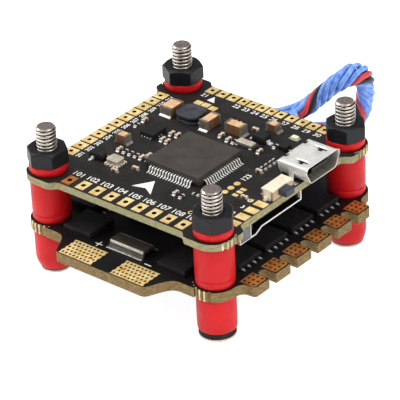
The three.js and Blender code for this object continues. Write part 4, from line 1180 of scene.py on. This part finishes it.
def card_socket():
    """Pressed shell hanging under the board, black insulator and eight sprung contacts."""
    coat("card_shell", TIN, 0.05)
    coat("card_housing", EPOXY)
    coat("card_slider", SLATE, 0.06)
    low, high = box_mm("card_shell")
    form = bmesh.new()
    for i in range(8):
        y = high.y - 1.6 - i * 1.1
        slab(form, (8.6, y - 0.2, FC_BOTTOM - 0.46), (13.2, y + 0.2, FC_BOTTOM - 0.34))
        loft(form, [[(x, y + s, z) for s, z in ((-0.2, z0), (0.2, z0), (0.2, z0 + 0.1), (-0.2, z0 + 0.1))]
                    for x, z0 in ((10.2, FC_BOTTOM - 0.5), (12.3, FC_BOTTOM - 0.86), (12.7, FC_BOTTOM - 0.84),
                                  (13.2, FC_BOTTOM - 0.7))], 0, True, True, True)
    for y in (low.y + 1.2, high.y - 0.9):
        for x in (3.6, 15.2):
            chip(form, x, y + (0.75 if y > 0 else -0.75) * 1.6, FC_BOTTOM - 0.12, 1.4, 0.7, 0.12, 1)
    finished("card_contacts", form, [GOLD, SOLDER], bevel=0.01)
    # dark insulating film on the shell's floor, which steps up between the ejector and the card
    deep, shallow = low.z + 0.2, FC_BOTTOM - 1.35
    line = [(low.y + 0.22, deep), (-8.06, deep), (-6.76, shallow), (high.y - 0.22, shallow)]
    film = [(y, z + 0.001) for y, z in line] + [(y, z + 0.04) for y, z in reversed(line)]
    form = bmesh.new()
    loft(form, [[(x, y, z) for y, z in film] for x in (low.x + 0.3, high.x - 0.07)], 0, True, True, True)
    # a smoky grey plate on the shell's front face, darker than the tin round it
    slab(form, (high.x - 0.01, low.y + 0.12, low.z + 0.12),
         (high.x + 0.02, low.y + 2.36, FC_BOTTOM - 0.06), 1)
    finished("card_film", form, [BLACK_GLAZE_AND_SHADE, CARD_FRONT_GREY], bevel=0.005)


card_socket()


# ------------------------------------------------------------------ harness sockets and plugs

def connector(prefix):
    """Eight-way 1 mm pitch connector: open white socket, plug with a crimp window over each wire."""
    coat(f"{prefix}_socket", WHITE, 0.08)
    low, high = box_mm(f"{prefix}_plug")
    centre = centre_mm(f"{prefix}_plug")
    form = bmesh.new()
    slab(form, tuple(low), tuple(high))
    for way in PLUG_WAYS:
        x = centre.x + way
        # each crimp window and wire mouth is a black piece: painted shade in the opening
        slab(form, (x - 0.26, high.y - 2.2, high.z - 0.06), (x + 0.26, high.y - 0.9, high.z + 0.012), 1)
        slab(form, (x - 0.42, high.y - 0.25, high.z - 0.01), (x + 0.42, high.y - 0.02, high.z + 0.09))
        mouth = [(x + 0.44 * math.cos(a * math.pi / 8), high.y + 0.012,
                  centre.z + 0.44 * math.sin(a * math.pi / 8)) for a in range(16)]
        loft(form, [mouth, [(px, py - 0.05, pz) for px, py, pz in mouth]], 1, True, True, True)
    finished(f"{prefix}_plug_crimped", form, [WHITE, BLACK_GLAZE_AND_SHADE],
             stands_for=[f"{prefix}_plug"], bevel=0.06)
    socket_low, socket_high = box_mm(f"{prefix}_socket")
    base = FC_BOTTOM - 0.14 if prefix == "fc" else ESC_TOP
    form = bmesh.new()
    for way in PLUG_WAYS:
        x = centre.x + way
        chip(form, x, socket_low.y - 0.35, base, 0.3, 0.75, 0.14, 0)
    for side in (-1, 1):
        edge = socket_high.x if side > 0 else socket_low.x
        chip(form, edge + side * 0.3, socket_high.y - 1.4, base, 0.7, 1.6, 0.14, 0)
    finished(f"{prefix}_socket_joints", form, [SOLDER], bevel=0.03)


connector("fc")
connector("esc")


# ------------------------------------------------------------------ speed controller

def via_field(form, low, high, columns, rows, z, radius, finish, stagger=0.0):
    """Rows of small plated holes; every second row is moved along by stagger of their spacing."""
    for j in range(rows):
        shift = stagger * (j % 2)
        for i in range(columns):
            x = low[0] + (high[0] - low[0]) * (i + shift) / (columns - 1 + stagger)
            y = low[1] + (high[1] - low[1]) * j / (rows - 1)
            turned(form, x, y, [(radius + 0.05, z + 0.002), (radius, z + 0.012), (radius * 0.8, z + 0.004)],
                   10, finish, False, True)


def esc_pads():
    """Power pads stitched with plated holes: gilt ones for the battery lead, bare copper for the motors."""
    form = bmesh.new()
    top = ESC_TOP + FOIL
    for x0, x1 in ((-7.85, -1.75), (1.75, 7.85)):
        y0, y1 = -22.3, -18.4
        outline = [(x0, y0), (x1, y0)]
        outline += [(x1 - 0.18 * (k % 2), y0 + (y1 - y0) * (k + 0.5) / 8) for k in range(8)]
        outline += [(x1, y1), (x0, y1)]
        outline += [(x0 + 0.18 * (k % 2), y1 - (y1 - y0) * (k + 0.5) / 8) for k in range(8)]
        prism(form, outline, ESC_TOP - 0.01, top, 0)
        via_field(form, (x0 + 0.5, y0 + 0.45), (x1 - 0.5, y1 - 0.45), 8, 5, top, 0.16, 1, 0.5)
    for x, y in ((-2.9, -21.0), (2.75, -20.6)):
        turned(form, x, y, [(0.36, top), (0.3, top + 0.05), (0.12, top + 0.09)], 16, 2, False, True)
    for side in (-1, 1):
        for i in range(6):
            y = (i - 2.5) * 4.8
            inner, outer, cut = side * 18.1, side * 20.72, side * 0.35
            outline = [
                (inner, y - 1.45), (outer - cut, y - 1.45), (outer - cut * 0.3, y - 1.35), (outer, y - 1.1),
                (outer, y + 1.1), (outer - cut * 0.3, y + 1.35), (outer - cut, y + 1.45), (inner, y + 1.45)]
            prism(form, outline, ESC_TOP - 0.01, top, 2)
            via_field(form, (inner + side * 0.5, y - 0.95), (outer - side * 0.5, y + 0.95),
                      3, 3, top, 0.17, 1)
    finished("esc_pads", form, [GOLD, VIA, COPPER], smooth=40)


def esc_ink():
    """Polarity marks by the battery pads."""
    form = bmesh.new()
    z0, z1 = ESC_TOP + 0.002, ESC_TOP + 0.03
    chip(form, -4.45, -17.34, z0, 1.3, 0.16, z1 - z0)
    chip(form, -4.45, -17.34, z0, 0.16, 1.3, z1 - z0 + 0.001)
    chip(form, 4.9, -17.6, z0, 1.2, 0.16, z1 - z0)
    finished("esc_ink", form, [INK])


def power_transistor(name, side):
    """Edge transistor: flat moulded body, bright legs towards the motor pads, solder at each."""
    low, high = box_mm(name)
    centre = centre_mm(name)
    form = bmesh.new()
    frustum(form, centre.x, centre.y, ESC_TOP + 0.03, high.x - low.x, high.y - low.y,
            high.z - ESC_TOP - 0.03, 0.1)
    outer = high.x if side > 0 else low.x
    for step in (-1.9, -0.63, 0.63, 1.9):
        y = centre.y + step
        chip(form, outer + side * 0.16, y, ESC_TOP, 0.4, 0.26, 0.18, 1)
        chip(form, outer + side * 0.44, y, ESC_TOP, 0.3, 0.3, 0.08, 2)
    disc(form, centre.x - side * 2.1, centre.y + 1.7, high.z + 0.003, 0.22, 3)
    finished(name + "_legged", form, [EPOXY, TIN, SOLDER, BLACK_GLAZE_AND_SHADE], stands_for=[name], bevel=0.07)


def driver_chip(name):
    """Leadless driver or processor: a moulded body with dark pads along its four sides."""
    low, high = box_mm(name)
    centre = centre_mm(name)
    form = bmesh.new()
    frustum(form, centre.x, centre.y, ESC_TOP + 0.03, high.x - low.x, high.y - low.y,
            high.z - ESC_TOP - 0.03, 0.08)
    half_x, half_y = (high.x - low.x) / 2, (high.y - low.y) / 2
    pins = int(half_x * 2 / 0.65) - 1
    for i in range(pins):
        shift = (i - (pins - 1) / 2) * 0.65
        for end in (-1, 1):
            chip(form, centre.x + shift, centre.y + end * (half_y + 0.02), ESC_TOP, 0.26, 0.24, 0.12, 1)
            chip(form, centre.x + end * (half_x + 0.02), centre.y + shift, ESC_TOP, 0.24, 0.26, 0.12, 1)
    disc(form, centre.x - half_x * 0.7, centre.y + half_y * 0.7, high.z + 0.003, 0.2, 2)
    finished(name + "_packaged", form, [EPOXY, VIA, BLACK_GLAZE_AND_SHADE], stands_for=[name], bevel=0.06)


def current_shunt():
    """Resistor alloy bridge, humped over a gap, its silver ends folded down to the board."""
    low, high = box_mm("current_shunt")
    centre = centre_mm("current_shunt")
    form = bmesh.new()
    half = (high.y - low.y) / 2
    rise = high.z - ESC_TOP
    section = [
        (-half, 0), (-half, 0.22), (-half + 0.3, 0.3), (-half + 0.42, 0.62), (-half + 0.5, rise - 0.12),
        (-half + 0.66, rise), (half - 0.66, rise), (half - 0.5, rise - 0.12), (half - 0.42, 0.62),
        (half - 0.3, 0.3), (half, 0.22), (half, 0), (half - 0.55, 0), (half - 0.8, 0.5), (-half + 0.8, 0.5),
        (-half + 0.55, 0)]

    def place(out, across, up):
        return (centre.x + across, centre.y + out, ESC_TOP + up)

    swept(form, section, place, (high.x - low.x) / 2)
    for end in (-1, 1):
        y0, y1 = sorted((centre.y + end * (half - 0.62), centre.y + end * (half - 0.42)))
        slab(form, (low.x + 0.1, y0, ESC_TOP + 0.34), (high.x - 0.1, y1, high.z - 0.1), 1)
        chip(form, centre.x, centre.y + end * (half + 0.1), ESC_TOP, high.x - low.x + 0.2, 0.5, 0.12, 2)
    finished("current_shunt_folded", form, [SHUNT, TIN, SOLDER],
             stands_for=["current_shunt"], bevel=0.06)


esc_pads()
esc_ink()
for side_name, side in (("right", 1), ("left", -1)):
    for i in range(4):
        power_transistor(f"transistor_{side_name}_{i + 1}", side)
    driver_chip(f"gate_driver_{side_name}")
for i in range(4):
    driver_chip(f"esc_processor_{i + 1}")
current_shunt()
small_chips("esc_small_chips", [
    (-5.2 + 1.5 * i, -2.2 + 0.3 * (i % 2), i % 2 == 0, i % 3 == 0) for i in range(8)
] + [
    (9.3 * side, -11.0 + 2.1 * i, False, i % 2 == 0) for side in (-1, 1) for i in range(11)
] + [
    (-6.2 + 1.6 * i, 13.4, False, i % 2 == 1) for i in range(9)
], ESC_TOP)


# ------------------------------------------------------------------ stage and light

def soft_light(name, place, aim, size, watts):
    data = bpy.data.lights.new(name, "AREA")
    data.shape = "RECTANGLE"
    data.size, data.size_y = size
    data.energy = watts
    lamp = bpy.data.objects.new(name, data)
    lamp.location = place
    lamp.rotation_mode = "QUATERNION"
    lamp.rotation_quaternion = (Vector(aim) - Vector(place)).to_track_quat("-Z", "Y")
    bpy.context.scene.collection.objects.link(lamp)


def light_and_floor():
    form = bmesh.new()
    slab(form, (-3000, -3000, -2.0), (3000, 3000, -0.02))
    bmesh.ops.scale(form, vec=(MM, MM, MM), verts=form.verts)
    mesh = bpy.data.meshes.new("paper_floor")
    form.to_mesh(mesh)
    form.free()
    # white paper sweep: it glows a little, as under lights all round it, so that shadows on it stay faint
    paper, tree, place = blank("white_paper")
    shader = add(tree, "ShaderNodeBsdfPrincipled", {
        "Base Color": clouded(tree, place, 40, "#c9c9c9", "#d2d2d2"), "Roughness": 0.9,
        "Emission Color": (1, 1, 1, 1), "Emission Strength": 0.9})
    add(tree, "ShaderNodeOutputMaterial", {"Surface": shader.outputs["BSDF"]})
    mesh.materials.append(paper)
    floor = bpy.data.objects.new("paper_floor", mesh)
    bpy.context.scene.collection.objects.link(floor)
    soft_light("overhead_softbox", (-0.1, -0.1, 0.9), (0, 0, 0.01), (1.0, 1.0), 8.5)
    soft_light("left_softbox", (-0.75, -0.35, 0.45), (0, 0, 0.01), (0.5, 0.6), 4.6)
    soft_light("right_softbox", (0.75, -0.1, 0.4), (0, 0, 0.01), (0.4, 0.5), 3.0)
    world = bpy.data.worlds.new("white_room")
    world.use_nodes = True
    world.node_tree.nodes["Background"].inputs["Color"].default_value = (1, 1, 1, 1)
    world.node_tree.nodes["Background"].inputs["Strength"].default_value = 0.3
    bpy.context.scene.world = world
    bpy.context.scene.view_settings.view_transform = "Standard"


light_and_floor()
